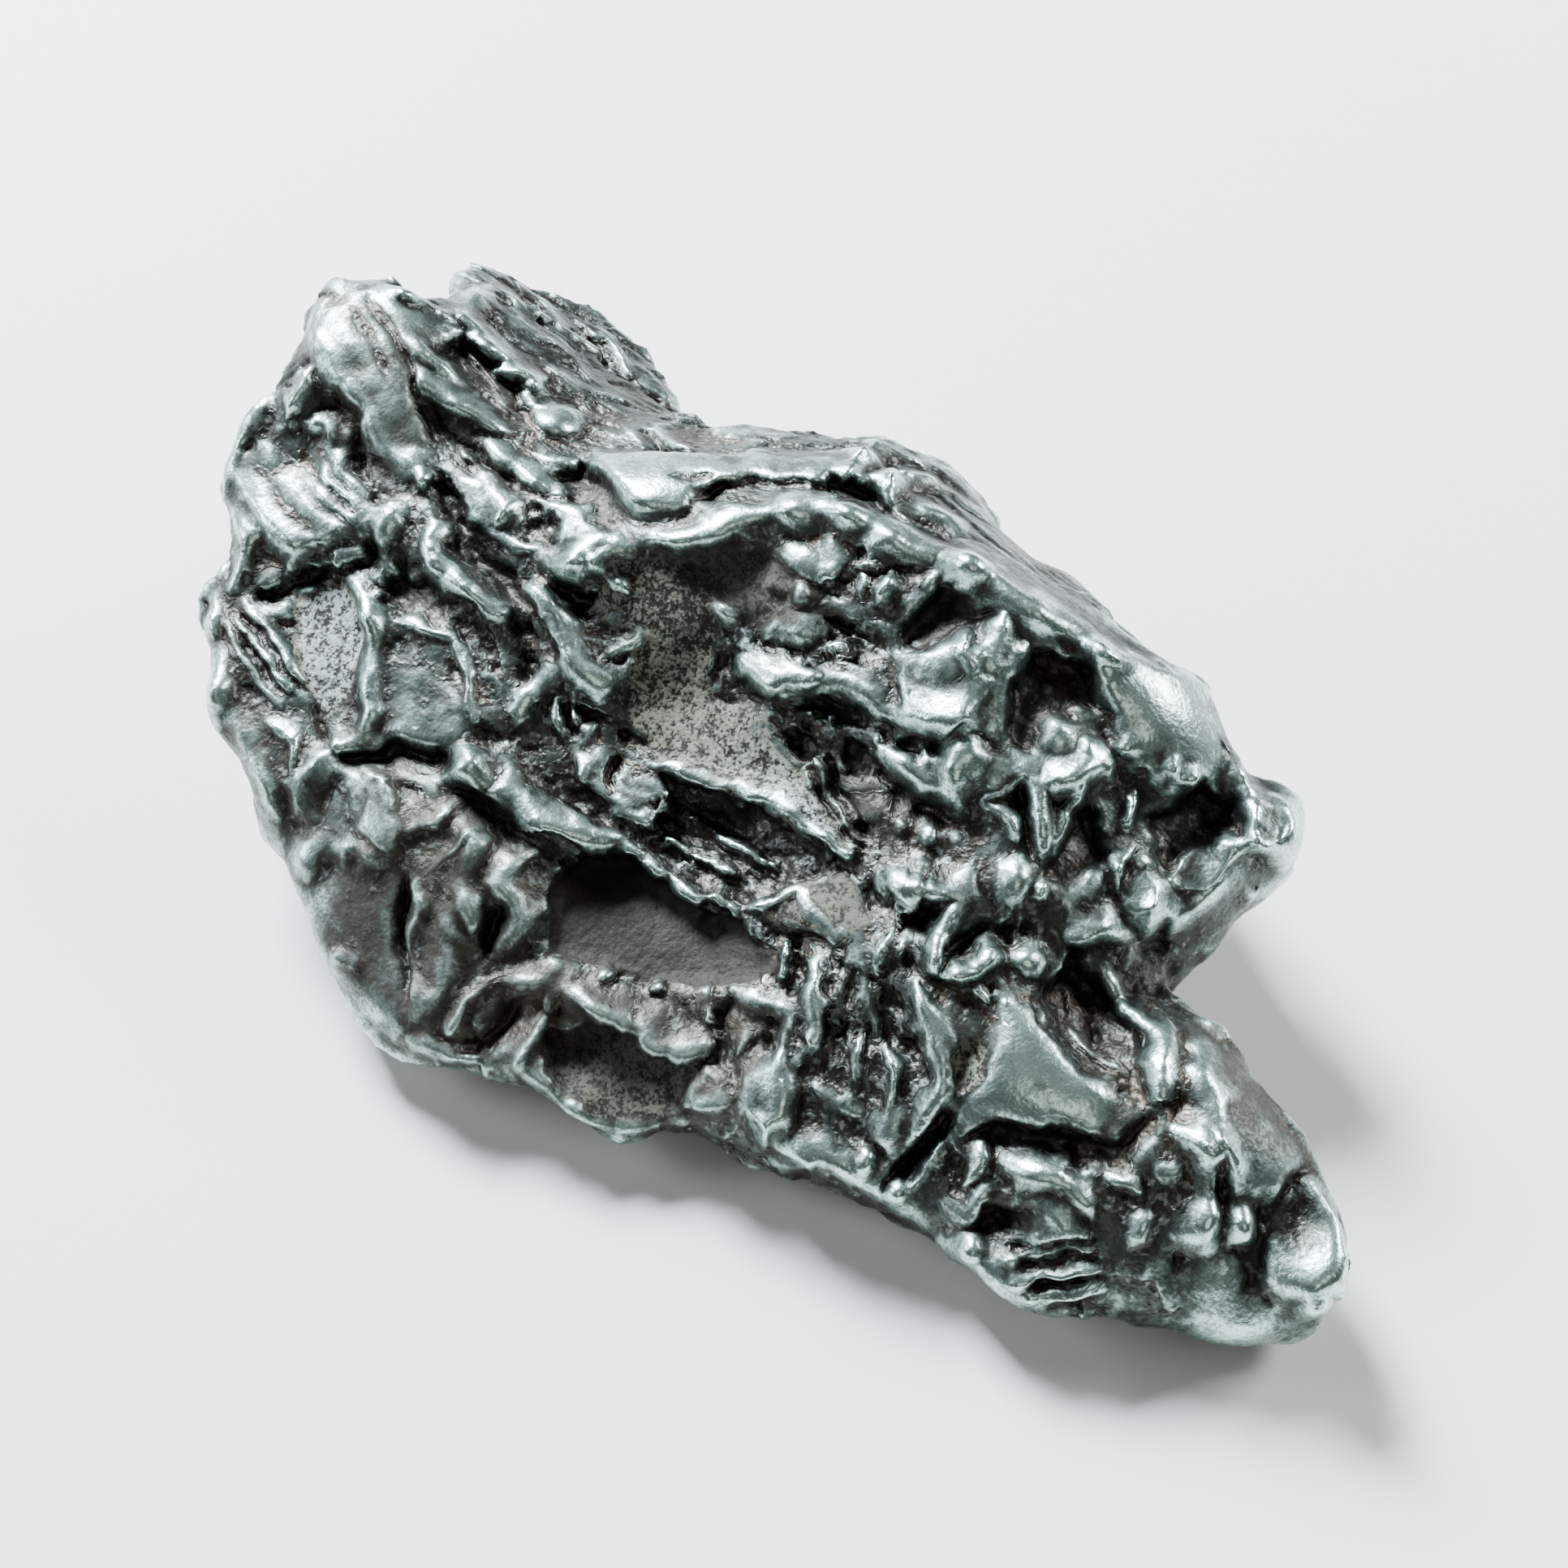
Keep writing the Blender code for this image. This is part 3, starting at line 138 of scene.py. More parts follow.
# Facets and hollows of the crown: step up or down, its rise along FLAKE_WAY, width of the edge, and
# corners in plan
FACETS = {
    "front lobe plate": (0.3, 0.0, 0.9, [(-33, -1.5), (-29, -1), (-26, -3), (-26, -5), (-33, -4.8)]),
    "furrow between lobes": (-1.1, 0.25, 0.9, [
        (-29, 0.9), (-28, 1.2), (-27.4, 2), (-26.4, 1), (-25.4, 1.9), (-24, 1.2), (-22.4, 0.8),
        (-22, 0.2), (-24, -0.9), (-28, -1)]),
    "ring plate": (0.4, 0.0, 0.6, [
        (-21.1, -4.5), (-20.4, -2.7), (-16, -1.2), (-12.6, -1), (-13.2, -3), (-15.9, -4.5),
        (-18.9, -5.1)]),
    "ring hollow": (-0.7, 0.2, 0.6, [
        (-17.4, -2.3), (-15.6, -2.2), (-14.9, -3), (-15.4, -3.8), (-16.8, -3.8)]),
    "pit beside furrow": (-1.0, 0.3, 0.8, [
        (-18.5, 1.3), (-16, 1), (-13, 0.9), (-13, -0.9), (-16, -0.8), (-18.5, -0.4)]),
    "crest left plate": (0.7, 0.05, 0.6, [
        (-18.2, 1.5), (-13.6, 1.2), (-11.1, 2.2), (-11.6, 3.4), (-10.6, 6), (-7.4, 8.6), (-6, 12.4),
        (-9.4, 12.4), (-14.4, 5.6), (-17.7, 3.2)]),
    "second lump shade": (-0.4, 0.15, 0.9, [
        (-18, 9.5), (-16, 8), (-14, 5.8), (-15.5, 5.6), (-18.6, 7)]),
    "left shoulder": (0.4, 0.0, 0.9, [
        (-29.3, -7.9), (-23, -8.2), (-22.6, -9.6), (-24, -11), (-25, -13), (-27, -13.6), (-31, -12),
        (-30, -9.6)]),
    "smooth hollow": (-0.8, 0.25, 0.9, [
        (-20, -8.6), (-18, -8.6), (-15.6, -8.2), (-16.5, -9.4), (-18, -10.4), (-20, -10.4)]),
    "left speckled plate": (-0.3, 0.1, 0.7, [
        (-23.1, -13.9), (-21.2, -11.6), (-18.6, -12.2), (-16.9, -14.1), (-16.4, -16.1),
        (-19.4, -15.7)]),
    "olive plate": (0.1, 0.04, 1.2, [
        (-20.4, -11.2), (-18.8, -11.2), (-15.8, -10), (-10.6, -10.4), (-10.8, -12), (-12.9, -13.8),
        (-16.8, -13)]),
    "rim dome": (0.7, 0.0, 1.4, [
        (-15.5, -15.9), (-12.5, -15.4), (-9, -15.7), (-9, -18), (-12, -19.2), (-15.5, -19)]),
    "hollow behind crest": (-0.8, 0.25, 0.8, [
        (-7.6, 9), (-6.8, 9.8), (-5.5, 10.2), (-3.2, 9.7), (-3.8, 8.8), (-6, 8), (-7, 8.3)]),
    "recess under crest": (-0.35, 0.1, 0.9, [
        (-10.3, 0.3), (-9.6, 1.5), (-8.4, 2.7), (-6.4, 4.2), (-4.8, 4.6), (-3.8, 3.1), (-4.8, 1.9),
        (-7.4, 1.3), (-9.4, 0.9)]),
    "central speckled plate": (0.25, 0.05, 0.6, [
        (-11.7, -1.4), (-11.1, -3.4), (-9, -2.4), (-7, -4.4), (-3.8, -4.5), (0.4, -2.8), (6.2, -0.9),
        (3.3, -0.2), (-1, 0.3), (-3.9, -0.8), (-5.3, -0.3), (-5.9, 0.8), (-7.4, 1.3), (-9.4, 0.9)]),
    "terrace": (0.7, 0.0, 0.7, [
        (-4.7, 1.6), (-3.2, 2), (-0.8, 2.4), (-1.6, 1), (-2.8, 0.4), (-4.2, 0.3)]),
    "tongue plate": (0.45, 0.1, 0.7, [
        (-7, -5), (-6, -5.4), (-4.6, -4.6), (-2.2, -5.3), (-2, -6.6), (-3.6, -7.8), (-6, -8),
        (-6.8, -6.6)]),
    "hollow under central ledge": (-0.15, 0.1, 0.8, [
        (-2.2, -8), (-1.7, -5.1), (1.4, -2.9), (4.4, -2.3), (5, -3.4), (4.2, -5.4), (2.9, -6.6),
        (-1.7, -7.7)]),
    "fallen facet": (0.2, 0.1, 0.6, [(4.6, -5.7), (5.2, -3.4), (6.6, -1.6), (9.4, -2.4), (8.7, -4.2)]),
    "great dark plate": (-0.8, 0.15, 0.8, [
        (-3.3, -11), (-1.8, -8.4), (2.7, -7.5), (5, -6.2), (7.6, -6.2), (7.4, -7.6), (5.4, -9.6),
        (2.6, -12), (-0.2, -14.2), (-2.4, -12.3)]),
    "rim pocket": (-0.8, 0.2, 0.7, [
        (2.6, -16), (3.6, -14.5), (5.4, -13), (8, -11.8), (8.9, -13), (8.6, -15), (6.8, -16.4),
        (3.8, -17)]),
    "window pit": (-0.9, 0.15, 0.8, [
        (1.1, 8.9), (2.4, 9.3), (3.5, 9.6), (3.3, 8), (3, 6.6), (2.2, 5.9), (1.1, 6)]),
    "saddle": (0.5, 0.0, 0.8, [
        (5.2, 10), (5.9, 9.2), (6.6, 7.9), (7.8, 6.6), (6.3, 5.6), (5.6, 6.6), (5.2, 8.2)]),
    "crest shield": (0.9, -0.03, 1.0, [
        (7, 12.6), (9.7, 15.3), (10.8, 16.8), (14, 15.7), (16, 14.8), (14, 13.9), (13.8, 12),
        (12, 11.1), (9.6, 11.4)]),
    "cavity under shield": (-1.1, 0.15, 1.0, [
        (14.1, 13), (14.4, 14), (15.6, 14.5), (16.8, 14.4), (16.7, 12.3), (16.3, 10), (15, 9.8),
        (14.2, 10.8)]),
    "pit beside arch": (-1.0, 0.25, 0.8, [
        (5.9, 10.2), (7.5, 11.7), (8.3, 11.8), (9.3, 11), (9.1, 10), (8.6, 9), (8.9, 7), (7.9, 6.6),
        (6.6, 8.4)]),
    "tall hollow": (-1.0, 0.15, 0.8, [
        (11.8, 8.5), (13.9, 8), (14.5, 7), (14.5, 5.6), (13.6, 4.6), (12.8, 5.2), (12.4, 6.6)]),
    "boulder": (0.6, 0.0, 0.8, [(6.6, 5.4), (8, 6), (9.2, 6.4), (9, 5), (8, 3.9), (6.8, 3.8)]),
    "brown facet": (0.3, 0.0, 0.6, [(10.4, 1.6), (11, 2.4), (12.4, 1.6), (11.4, 1)]),
    "notch flank": (-1.0, 0.1, 1.2, [(17.6, 8.4), (20.5, 7.6), (20.5, 5.4), (18, 5.2)]),
    "tail block": (0.9, -0.05, 1.5, [
        (16, 0), (18, 0), (19, 0.2), (22.2, 0.4), (22.6, -0.6), (20.9, -1.6), (19.8, -3), (18.9, -4.3),
        (18.4, -4.2), (18.3, -3), (17.5, -1.6)]),
    "tail crater": (-0.4, 0.0, 0.5, [
        (16.2, -2.6), (17.4, -2.2), (18.1, -3), (18, -3.9), (17, -3.9), (16.3, -3.2)]),
    "tail gully": (-1.0, 0.15, 1.0, [
        (16.4, 3.6), (18.2, 4.6), (19.5, 4.2), (21.5, 3.4), (22.8, 2.4), (23.2, 1.4), (22, 0.9),
        (19, 0.7), (17.2, 1)]),
    "tail outer flank": (-0.3, 0.0, 1.0, [
        (24, 5), (26, 3.8), (28, 3.2), (30, 3.9), (30.4, 5.4), (25, 6.4)]),
    "neck hollow": (-0.5, 0.0, 0.8, [(29.8, 1), (29.9, 2.4), (31, 2.2), (31.8, 1.6), (31, 0.8)]),
}

# Raised ridges and rolled edges of the crown: height, half width, line in plan
RIDGES = {
    "main crest": (1.1, 1.3, [
        (-11.3, 0), (-10.3, 1.2), (-8.8, 3.2), (-7.6, 5.5), (-6.8, 6.3), (-5.5, 7.3), (-4, 7.9),
        (-2, 8.7), (-0.5, 9.7), (2.5, 10.5), (5, 11.3), (7, 12.1), (8.2, 12.8), (9.3, 12)]),
    "back lump rim": (0.8, 0.9, [
        (-7.5, 9.6), (-9.1, 12.1), (-10, 15.6), (-8.7, 17.4), (-6.3, 17), (-3.4, 16)]),
    "back lump blob": (0.7, 0.9, [(-5.3, 10.6), (-6.2, 12.4), (-5.8, 13.9)]),
    "back lump spur": (0.6, 0.8, [(-4, 11.6), (-2.6, 12.2), (-1.4, 11.8)]),
    "front lobe edge": (0.8, 1.0, [
        (-33.8, -4.5), (-33, -5.6), (-29.3, -6.1), (-26, -5.8), (-22.2, -5.8)]),
    "lobe blade": (0.7, 0.7, [(-28.4, -1.9), (-27, -1.5), (-25.7, -1.2)]),
    "second lobe blade": (0.7, 0.7, [(-26.8, -2.9), (-24.8, -2), (-22.2, -0.9)]),
    "third lobe blade": (0.7, 0.7, [(-22, -1.9), (-20, -1.6), (-18, -1.3)]),
    "back lobe edge": (0.7, 0.9, [(-34.5, 6), (-33, 4.5), (-30.3, 2), (-27.2, 2.6), (-24.6, 2.6)]),
    "back lobe band": (0.5, 0.8, [(-34, 6.8), (-32, 6), (-30, 5)]),
    "back lobe far edge": (0.7, 0.8, [(-29, 12.5), (-26.5, 11.8), (-24.5, 11.3), (-22.2, 9.9)]),
    "crest left lower edge": (0.5, 0.8, [(-19, 2.6), (-16.5, 1.7), (-13.2, 1.1), (-11.4, 1.4)]),
    "shoulder rim": (0.7, 0.8, [(-31.6, -11.6), (-30, -13.4), (-27, -14), (-25.6, -16)]),
    "rim lobes": (0.6, 0.8, [(-25.8, -17.2), (-22.8, -18.7), (-20, -20.4)]),
    "knife ridge": (1.0, 0.8, [(-19.3, -7.6), (-18, -7.8), (-15, -7.1), (-13.9, -6.7)]),
    "hook ridge": (0.8, 0.8, [
        (-21, -11.5), (-17.5, -12), (-16.4, -13.3), (-15.2, -14), (-14.6, -14.7), (-14.4, -15.8)]),
    "crest recess curl": (0.8, 0.7, [(-5.6, 4.8), (-3.7, 5.3), (-3.5, 5.7), (-5, 6.3)]),
    "recess crumb ridge": (0.7, 0.8, [(-6.5, 1.2), (-5, 2.4), (-3.5, 2.8), (-2, 3.3)]),
    "second crumb ridge": (0.6, 0.7, [(-6, 3), (-4.5, 3.9), (-3.2, 4.6)]),
    "second terrace": (0.9, 0.8, [
        (-4.2, 0.8), (-2.8, 1), (-1.6, 1.5), (-0.6, 2.2), (0.4, 2.9), (1.5, 3.2), (2.6, 3.3),
        (3.8, 4)]),
    "lower roll": (0.9, 0.8, [(4.3, 3.5), (4.6, 2.7), (5.6, 2.6), (7, 3.5), (8.2, 4)]),
    "central ledge": (0.8, 0.65, [
        (6.3, -1.1), (4, -1.4), (2, -1.6), (0.8, -2.2), (0, -3), (-1.5, -3.8), (-3, -4.1),
        (-3.8, -4.8)]),
    "tongue ledge": (0.7, 0.7, [
        (-2.2, -8), (-1, -7.7), (1, -7.3), (2.3, -6.9), (2.8, -6.3), (4, -6.1)]),
    "spine over craters": (0.9, 0.8, [(-13.8, -3.3), (-12.8, -2.4), (-12.2, -1.7), (-11.2, -0.4)]),
    "spine beside plate": (0.9, 0.8, [
        (-14, -5), (-12, -4.8), (-10.5, -5.2), (-9.3, -5.5), (-8.2, -5), (-7.8, -4), (-8, -3.2)]),
    "crater wall": (0.6, 0.6, [(-10, -5.8), (-10.1, -7.9), (-9.6, -8.8)]),
    "great ledge": (1.1, 1.0, [
        (-10, -12.3), (-8, -11.5), (-6, -11.1), (-4.5, -10.5), (-3.6, -9.6), (-2.7, -8.4)]),
    "pocket ledge": (0.9, 0.8, [
        (-0.5, -16.2), (0.7, -15), (2, -14.3), (3.3, -13.6), (5, -12.8), (7.2, -11.5), (7.8, -10.7)]),
    "pocket rim": (0.7, 0.8, [(3, -17.8), (5, -17.2), (7, -16.5), (8.7, -14.7)]),
    "rim fold": (0.8, 0.9, [(-7.2, -13.9), (-6.2, -13.7), (-4.8, -15.5), (-3.6, -15.9)]),
    "rim buttress": (0.8, 1.0, [(-4.4, -16.6), (-3.4, -18), (-2.4, -20.2)]),
    "lower ridge": (0.8, 0.8, [(-4.4, -12), (-4.1, -14), (-2.2, -13.8), (-1.8, -15.6)]),
    "arch strut": (1.2, 0.8, [(3.4, 10), (4.3, 9.3), (5, 8.4), (5.3, 7.3), (5.6, 6.6)]),
    "bright column": (1.1, 0.9, [(11.6, 10.2), (11, 8.9), (10.6, 7.8), (10.3, 6.8)]),
    "shield finger": (0.6, 0.6, [(11.6, 12.8), (11.4, 11.2), (11, 10.4)]),
    "prong strut": (1.2, 0.8, [
        (16.1, 15.2), (16.9, 14.6), (17.4, 14), (17.2, 12.5), (16.8, 11), (16.6, 9.8)]),
    "prong blade": (1.0, 0.9, [(17.9, 13.2), (17.8, 11.5), (17.9, 10), (18.1, 8.6)]),
    "hollow wall": (0.7, 0.6, [(17, 6.7), (16.5, 6), (16.3, 5), (15.9, 4)]),
    "middle teeth": (0.8, 0.7, [(8.5, 6.5), (9.6, 6.7), (10.8, 6.4), (11.6, 5.8), (12.5, 5.3)]),
    "horn left": (0.9, 0.7, [(11.7, 0.8), (12, -0.3), (12.4, -1.2), (13.2, -1.8)]),
    "horn right": (0.8, 0.7, [(13.8, 1), (14.3, 0.2), (14.4, -0.6), (13.6, -1.7)]),
    "bright bar": (0.9, 0.8, [(8.2, -1), (9.5, -0.5), (10.3, 0.4), (11.2, 0.9)]),
    "worm a": (0.7, 0.6, [(8.8, -5.4), (10, -6.5), (11.2, -7), (11.8, -8.2)]),
    "worm b": (0.8, 0.7, [
        (13.2, -2.6), (14.5, -3.2), (16, -3.8), (16.9, -4.6), (17.2, -5.5), (17.6, -6.6)]),
    "worm c": (0.6, 0.6, [(7, -8.4), (10, -7.6), (11.1, -8.9)]),
    "tail flank edge": (0.8, 0.8, [
        (18, 5), (18.6, 4.5), (19.6, 4.6), (21, 4.4), (22, 4), (22.8, 3.1), (23.6, 2.7)]),
    "tail top": (0.7, 0.9, [(23.4, 4.1), (25.2, 4.3), (25.9, 3.5), (28.5, 2.9), (30.2, 3.4)]),
    "tail spur": (0.9, 0.8, [(25.2, 1.8), (26, 2.2), (27.3, 2), (28.2, 1.1), (28.5, 0.2), (28, -0.6)]),
    "striation a": (0.6, 0.7, [(21.2, -4.3), (23, -3.2), (25, -2.6)]),
    "striation b": (0.5, 0.6, [(22.2, -5), (24, -4), (25.4, -3.3)]),
    "tail rim": (0.7, 0.8, [(21.8, -7.9), (23, -7.4), (25.2, -7.1), (26.2, -6.2)]),
    "tail loop": (0.7, 0.6, [(21.3, -5.3), (21.5, -6.6), (20.4, -6.8)]),
    "lower right rim": (0.6, 0.8, [(13.4, -11), (15, -9.8), (17.6, -8.6), (20.4, -7.9)]),
}

# Grooves cut into the crown: depth, half width, line in plan
GROOVES = {
    "valley under blades": (0.9, 0.8, [(-25.5, -3.2), (-24, -3.5), (-22, -2.8), (-18.5, -2.2)]),
    "trench under lobe": (1.1, 0.9, [(-21.5, -5.2), (-17, -6), (-13.3, -5.5)]),
    "back lump hollow": (0.9, 0.7, [(-7.4, 11), (-8, 13.5), (-7.2, 15.4), (-5, 15.4)]),
    "back lump gap": (0.8, 0.6, [(-5, 9.6), (-3, 10.6), (-0.6, 11)]),
    "second lump slit": (0.8, 0.5, [(-19, 5.6), (-17.4, 5.2), (-15.5, 5.1)]),
    "pocket over shoulder": (1.0, 0.7, [(-29.6, -7.8), (-29, -6.8), (-27.5, -6.4), (-25, -7.6)]),
    "shoulder crack": (1.0, 0.6, [
        (-22.6, -9.3), (-21.5, -10), (-22, -11.5), (-23.8, -13.5), (-24.5, -14.8)]),
    "crack below olive plate": (1.4, 0.7, [
        (-9.8, -12.2), (-11.4, -13.2), (-12.7, -14), (-12.8, -15.2), (-14.5, -16.4)]),
    "gap under great ledge": (1.0, 0.8, [(-9.8, -13.2), (-7.6, -12.6), (-5.4, -12.2)]),
    "rim slot": (1.4, 0.6, [(-7.4, -17.2), (-5.4, -18.9), (-3.2, -20.3)]),
    "rim notch": (1.1, 0.7, [(0.8, -16), (0.9, -17.6), (0.4, -19.4)]),
    "slot beside ridge": (1.0, 0.6, [(-3.3, -14.2), (-3, -15.4), (-2.4, -16.4)]),
    "gap under terrace": (0.6, 0.5, [(-0.6, 1.2), (1, 2.2), (2.6, 2.3)]),
    "gap under roll": (0.7, 0.5, [(2.5, 1.7), (4.5, 1.8), (6, 2), (7.5, 2.8), (9, 3.2)]),
    "gap over terrace": (0.8, 0.6, [(-2, 4.2), (-0.6, 4.8), (0.6, 5.4), (1.6, 5.2)]),
    "spine gap": (0.9, 0.6, [(-13.2, -4), (-12.2, -3.4), (-10.8, -2.9)]),
    "dark crumb gap": (0.9, 0.8, [(-13.4, -6.2), (-12, -6.7), (-10.8, -7.4)]),
    "gap under teeth": (0.8, 0.5, [(9.8, 6.2), (11, 5.4), (12.4, 4.7)]),
    "horn gap": (1.0, 0.5, [(13.1, 1.4), (13.1, 0.2), (12.9, -0.9)]),
    "gap beside worm": (0.8, 0.6, [(14.4, 2.7), (14, 1.9), (13.6, 1.2)]),
    "tail slot": (1.3, 0.6, [(18.1, -4.8), (18.2, -6.4), (18, -8)]),
    "gap beside block": (1.0, 0.6, [(24, 1.6), (24.2, -0.4), (22, -2), (20.5, -3.3), (19.4, -4.8)]),
    "tail black gap": (1.0, 0.8, [(23.2, -4.4), (22.4, -5.6), (21.9, -6.6)]),
    "tail top slot": (0.8, 0.4, [(27, 2.4), (28, 1.8), (29, 1)]),
    "gap left of worm b": (0.8, 0.6, [(12.6, -3.6), (13.6, -4.4), (14.8, -4.4)]),
    "dark slot": (0.9, 0.6, [(10.6, -0.8), (11.2, -0.2), (11.3, 0.3)]),
}

# Nubs and blobs of the crown: place in plan, radius, height
KNOBS = {
    "tail tip": (31.6, 3.9, 2.0, 1.5), "tail lower nub": (33.1, 2.8, 0.9, 0.8),
    "prong nub": (17.7, 15.3, 1.7, 1.4), "mirror blob": (4.2, 5.7, 2.0, 1.4),
    "rim knob": (11.6, -10.0, 2.0, 1.3), "lobe knob": (-32.0, -0.4, 1.2, 0.7),
    "gap nodule": (-22.1, 2.3, 1.6, 1.0), "shoulder bulb": (-22.1, -8.3, 1.3, 0.8),
    "crest knob": (0.9, 10.1, 1.4, 0.8), "prong foot": (16.8, 8.2, 1.4, 1.0),
    "plate blob": (-9.5, -12.3, 1.3, 0.8), "triangle bump": (9.4, -11.8, 1.4, 0.8),
    "tail nodule": (29.4, 1.8, 0.9, 0.5), "right nodule": (15.4, 1.9, 0.9, 0.7),
    "horn blob": (14.1, 0.6, 0.9, 0.6), "back lump top": (-7.0, 15.0, 2.4, 0.8),
    "second lump top": (-16.0, 10.0, 2.2, 0.7), "left dome": (-33.0, -10.6, 1.8, 0.7),
    "oval blob": (12.7, 3.4, 1.1, 0.8), "white nub": (9.2, 8.7, 0.8, 0.5),
    "middle blob": (7.0, 5.0, 1.2, 0.7), "low blob": (11.2, -2.3, 0.9, 0.5),
    "loop blob": (16.2, -6.8, 1.0, 0.6), "rim blob": (-12.2, -20.0, 1.1, 0.6),
}

# The ways that flats look, which lean more to the light the nearer they are to the tail
LEFT_SUN, MIDDLE_SUN, SHIELD_SUN = (0.0, -0.1, 1.0), (-0.20, -0.25, 0.95), (-0.26, -0.31, 0.91)
TIP_SUN, LOW_SUN = (-0.38, -0.22, 0.90), (0.0, -0.63, 0.77)

# Spots worn flat: place in plan, radius, depth, and the way that the flat looks
WORN_FLATS = {
    "prong nub": (17.9, 15.4, 1.5, 0.3, SHIELD_SUN), "prong blade": (17.9, 11.2, 1.7, 0.3, SHIELD_SUN),
    "prong foot": (16.8, 8.4, 1.3, 0.3, SHIELD_SUN), "shoulder": (-27.6, -10.6, 2.8, 0.3, LEFT_SUN),
    "great ledge": (-7.6, -11.5, 1.7, 0.25, MIDDLE_SUN), "rim knob": (11.5, -9.6, 1.8, 0.4, LOW_SUN),
    "rim dome": (-12.4, -17.4, 2.4, 0.3, LOW_SUN), "low dome": (-3.6, -18.4, 1.8, 0.3, LOW_SUN),
}

# Fine ridges of the crown, region by region: height, half width, line in plan
LOBE_LINES = [
    (0.35, 0.40, [(-29, 1.1), (-28, 1.8), (-27.2, 2.4)]),
    (0.40, 0.40, [(-26.5, 1.2), (-26, 2.5), (-25.5, 3.3), (-24.8, 2.3)]),
    (0.35, 0.35, [(-22.6, -3.3), (-21.6, -3.6)]), (0.35, 0.40, [(-20, 5), (-17, 4.8)]),
    (0.35, 0.35, [(-19, 6.2), (-17, 5.8), (-15, 5.6)]),
    (0.40, 0.40, [(-21.2, -3.5), (-20, -3.2), (-18, -3.5), (-17.8, -4.2)]),
    (0.35, 0.40, [(-35.5, 8), (-33, 8.6), (-30.5, 8), (-28, 9)]),
    (0.30, 0.35, [(-32, 5.6), (-29.6, 5.4), (-27.4, 6.6), (-25.4, 6.2)]),
    (0.30, 0.35, [(-31, 10.4), (-28.6, 10.2), (-26, 9.2)]),
    (0.30, 0.30, [(-26.4, 4.4), (-24.6, 5.2), (-23, 6.8)]),
    (0.30, 0.30, [(-28.5, 0.3), (-26, 0.5), (-23.6, 0.2)]),
    (0.30, 0.30, [(-27, -0.5), (-24.8, -0.1), (-22.8, 0.1)]),
]
LEFT_LINES = [
    (0.30, 0.32, [(-29.5, -8.1), (-27, -8.2), (-24, -8.2)]),
    (0.30, 0.30, [(-30, -8.9), (-27, -8.8), (-24, -8.9)]),
    (0.35, 0.38, [(-30.5, -9.7), (-27, -9.6), (-23.5, -9.6)]),
    (0.40, 0.50, [(-31, -10.7), (-27.5, -10.5), (-24, -10.4)]),
    (0.40, 0.50, [(-30.5, -12.3), (-28, -12.3), (-25, -12.2)]),
    (0.35, 0.30, [(-27.5, -6.1), (-26, -6.8), (-25, -7.4)]), (0.45, 0.50, [(-30.8, -7), (-30.5, -8.8)]),
    (0.40, 0.40, [(-29, -14.2), (-26.5, -16.2)]), (0.35, 0.35, [(-20, -9.8), (-19.6, -10.9)]),
    (0.40, 0.35, [(-24.5, -15.7), (-22, -15.5), (-19, -15.8)]),
    (0.40, 0.35, [(-24, -16.6), (-22, -16.4), (-19, -16.5)]),
    (0.40, 0.35, [(-24.5, -17), (-22, -17.5), (-18.5, -17.4)]),
    (0.35, 0.35, [(-18.5, -18.3), (-16.8, -17.8), (-15.6, -18.6)]),
    (0.35, 0.35, [(-13, -16), (-11.8, -15.3), (-10.4, -15.9)]),
    (0.40, 0.45, [(-20.6, -19.4), (-18.6, -19.7), (-16.6, -19.9), (-14.8, -20.2)]),
    (0.30, 0.30, [(-17.8, -11), (-17, -10.2), (-15, -9.3), (-13, -9.5), (-11, -10.5)]),
]
CENTRE_LINES = [
    (0.30, 0.22, [(-5.0, 0.9), (-5.4, 0.2), (-5.2, -0.5)]),
    (0.40, 0.35, [(4.4, -5.6), (4.9, -5), (5.3, -4), (5.5, -3.6)]),
    (0.35, 0.40, [(5.5, -3.6), (6.8, -3.9), (8, -3.7)]),
    (0.35, 0.35, [(-9.1, -4.1), (-8.8, -3), (-8.4, -2.2)]),
    (0.45, 0.35, [(-12.6, -2), (-11.4, -1.8), (-10.4, -1.8)]),
    (0.35, 0.30, [(-8.9, -5.9), (-8.3, -6.6), (-7.6, -6.8)]),
    (0.35, 0.30, [(-9.1, -6.9), (-8.4, -7.4), (-7.5, -7.3)]),
    (0.35, 0.35, [(-7.1, -6.2), (-6.8, -7.3), (-5.6, -7.9)]),
    (0.40, 0.32, [(-8, 10.8), (-7.2, 9.6), (-6.8, 8.8)]),
    (0.40, 0.32, [(-6, 10.9), (-4.6, 10.1), (-3, 10)]), (0.35, 0.30, [(-1, 7.4), (-0.7, 6.4)]),
    (0.30, 0.28, [(-0.8, 3.4), (0, 4.1)]), (0.28, 0.22, [(1.6, 0.5), (4, 0.1), (6.4, -0.3)]),
    (0.28, 0.22, [(2, -0.1), (4, -0.4), (6.6, -0.7)]),
    (0.30, 0.26, [(0.5, -4.6), (2, -4), (3.6, -3.4)]),
    (0.30, 0.26, [(-1, -6.4), (0.8, -5.8), (2.6, -5)]),
]
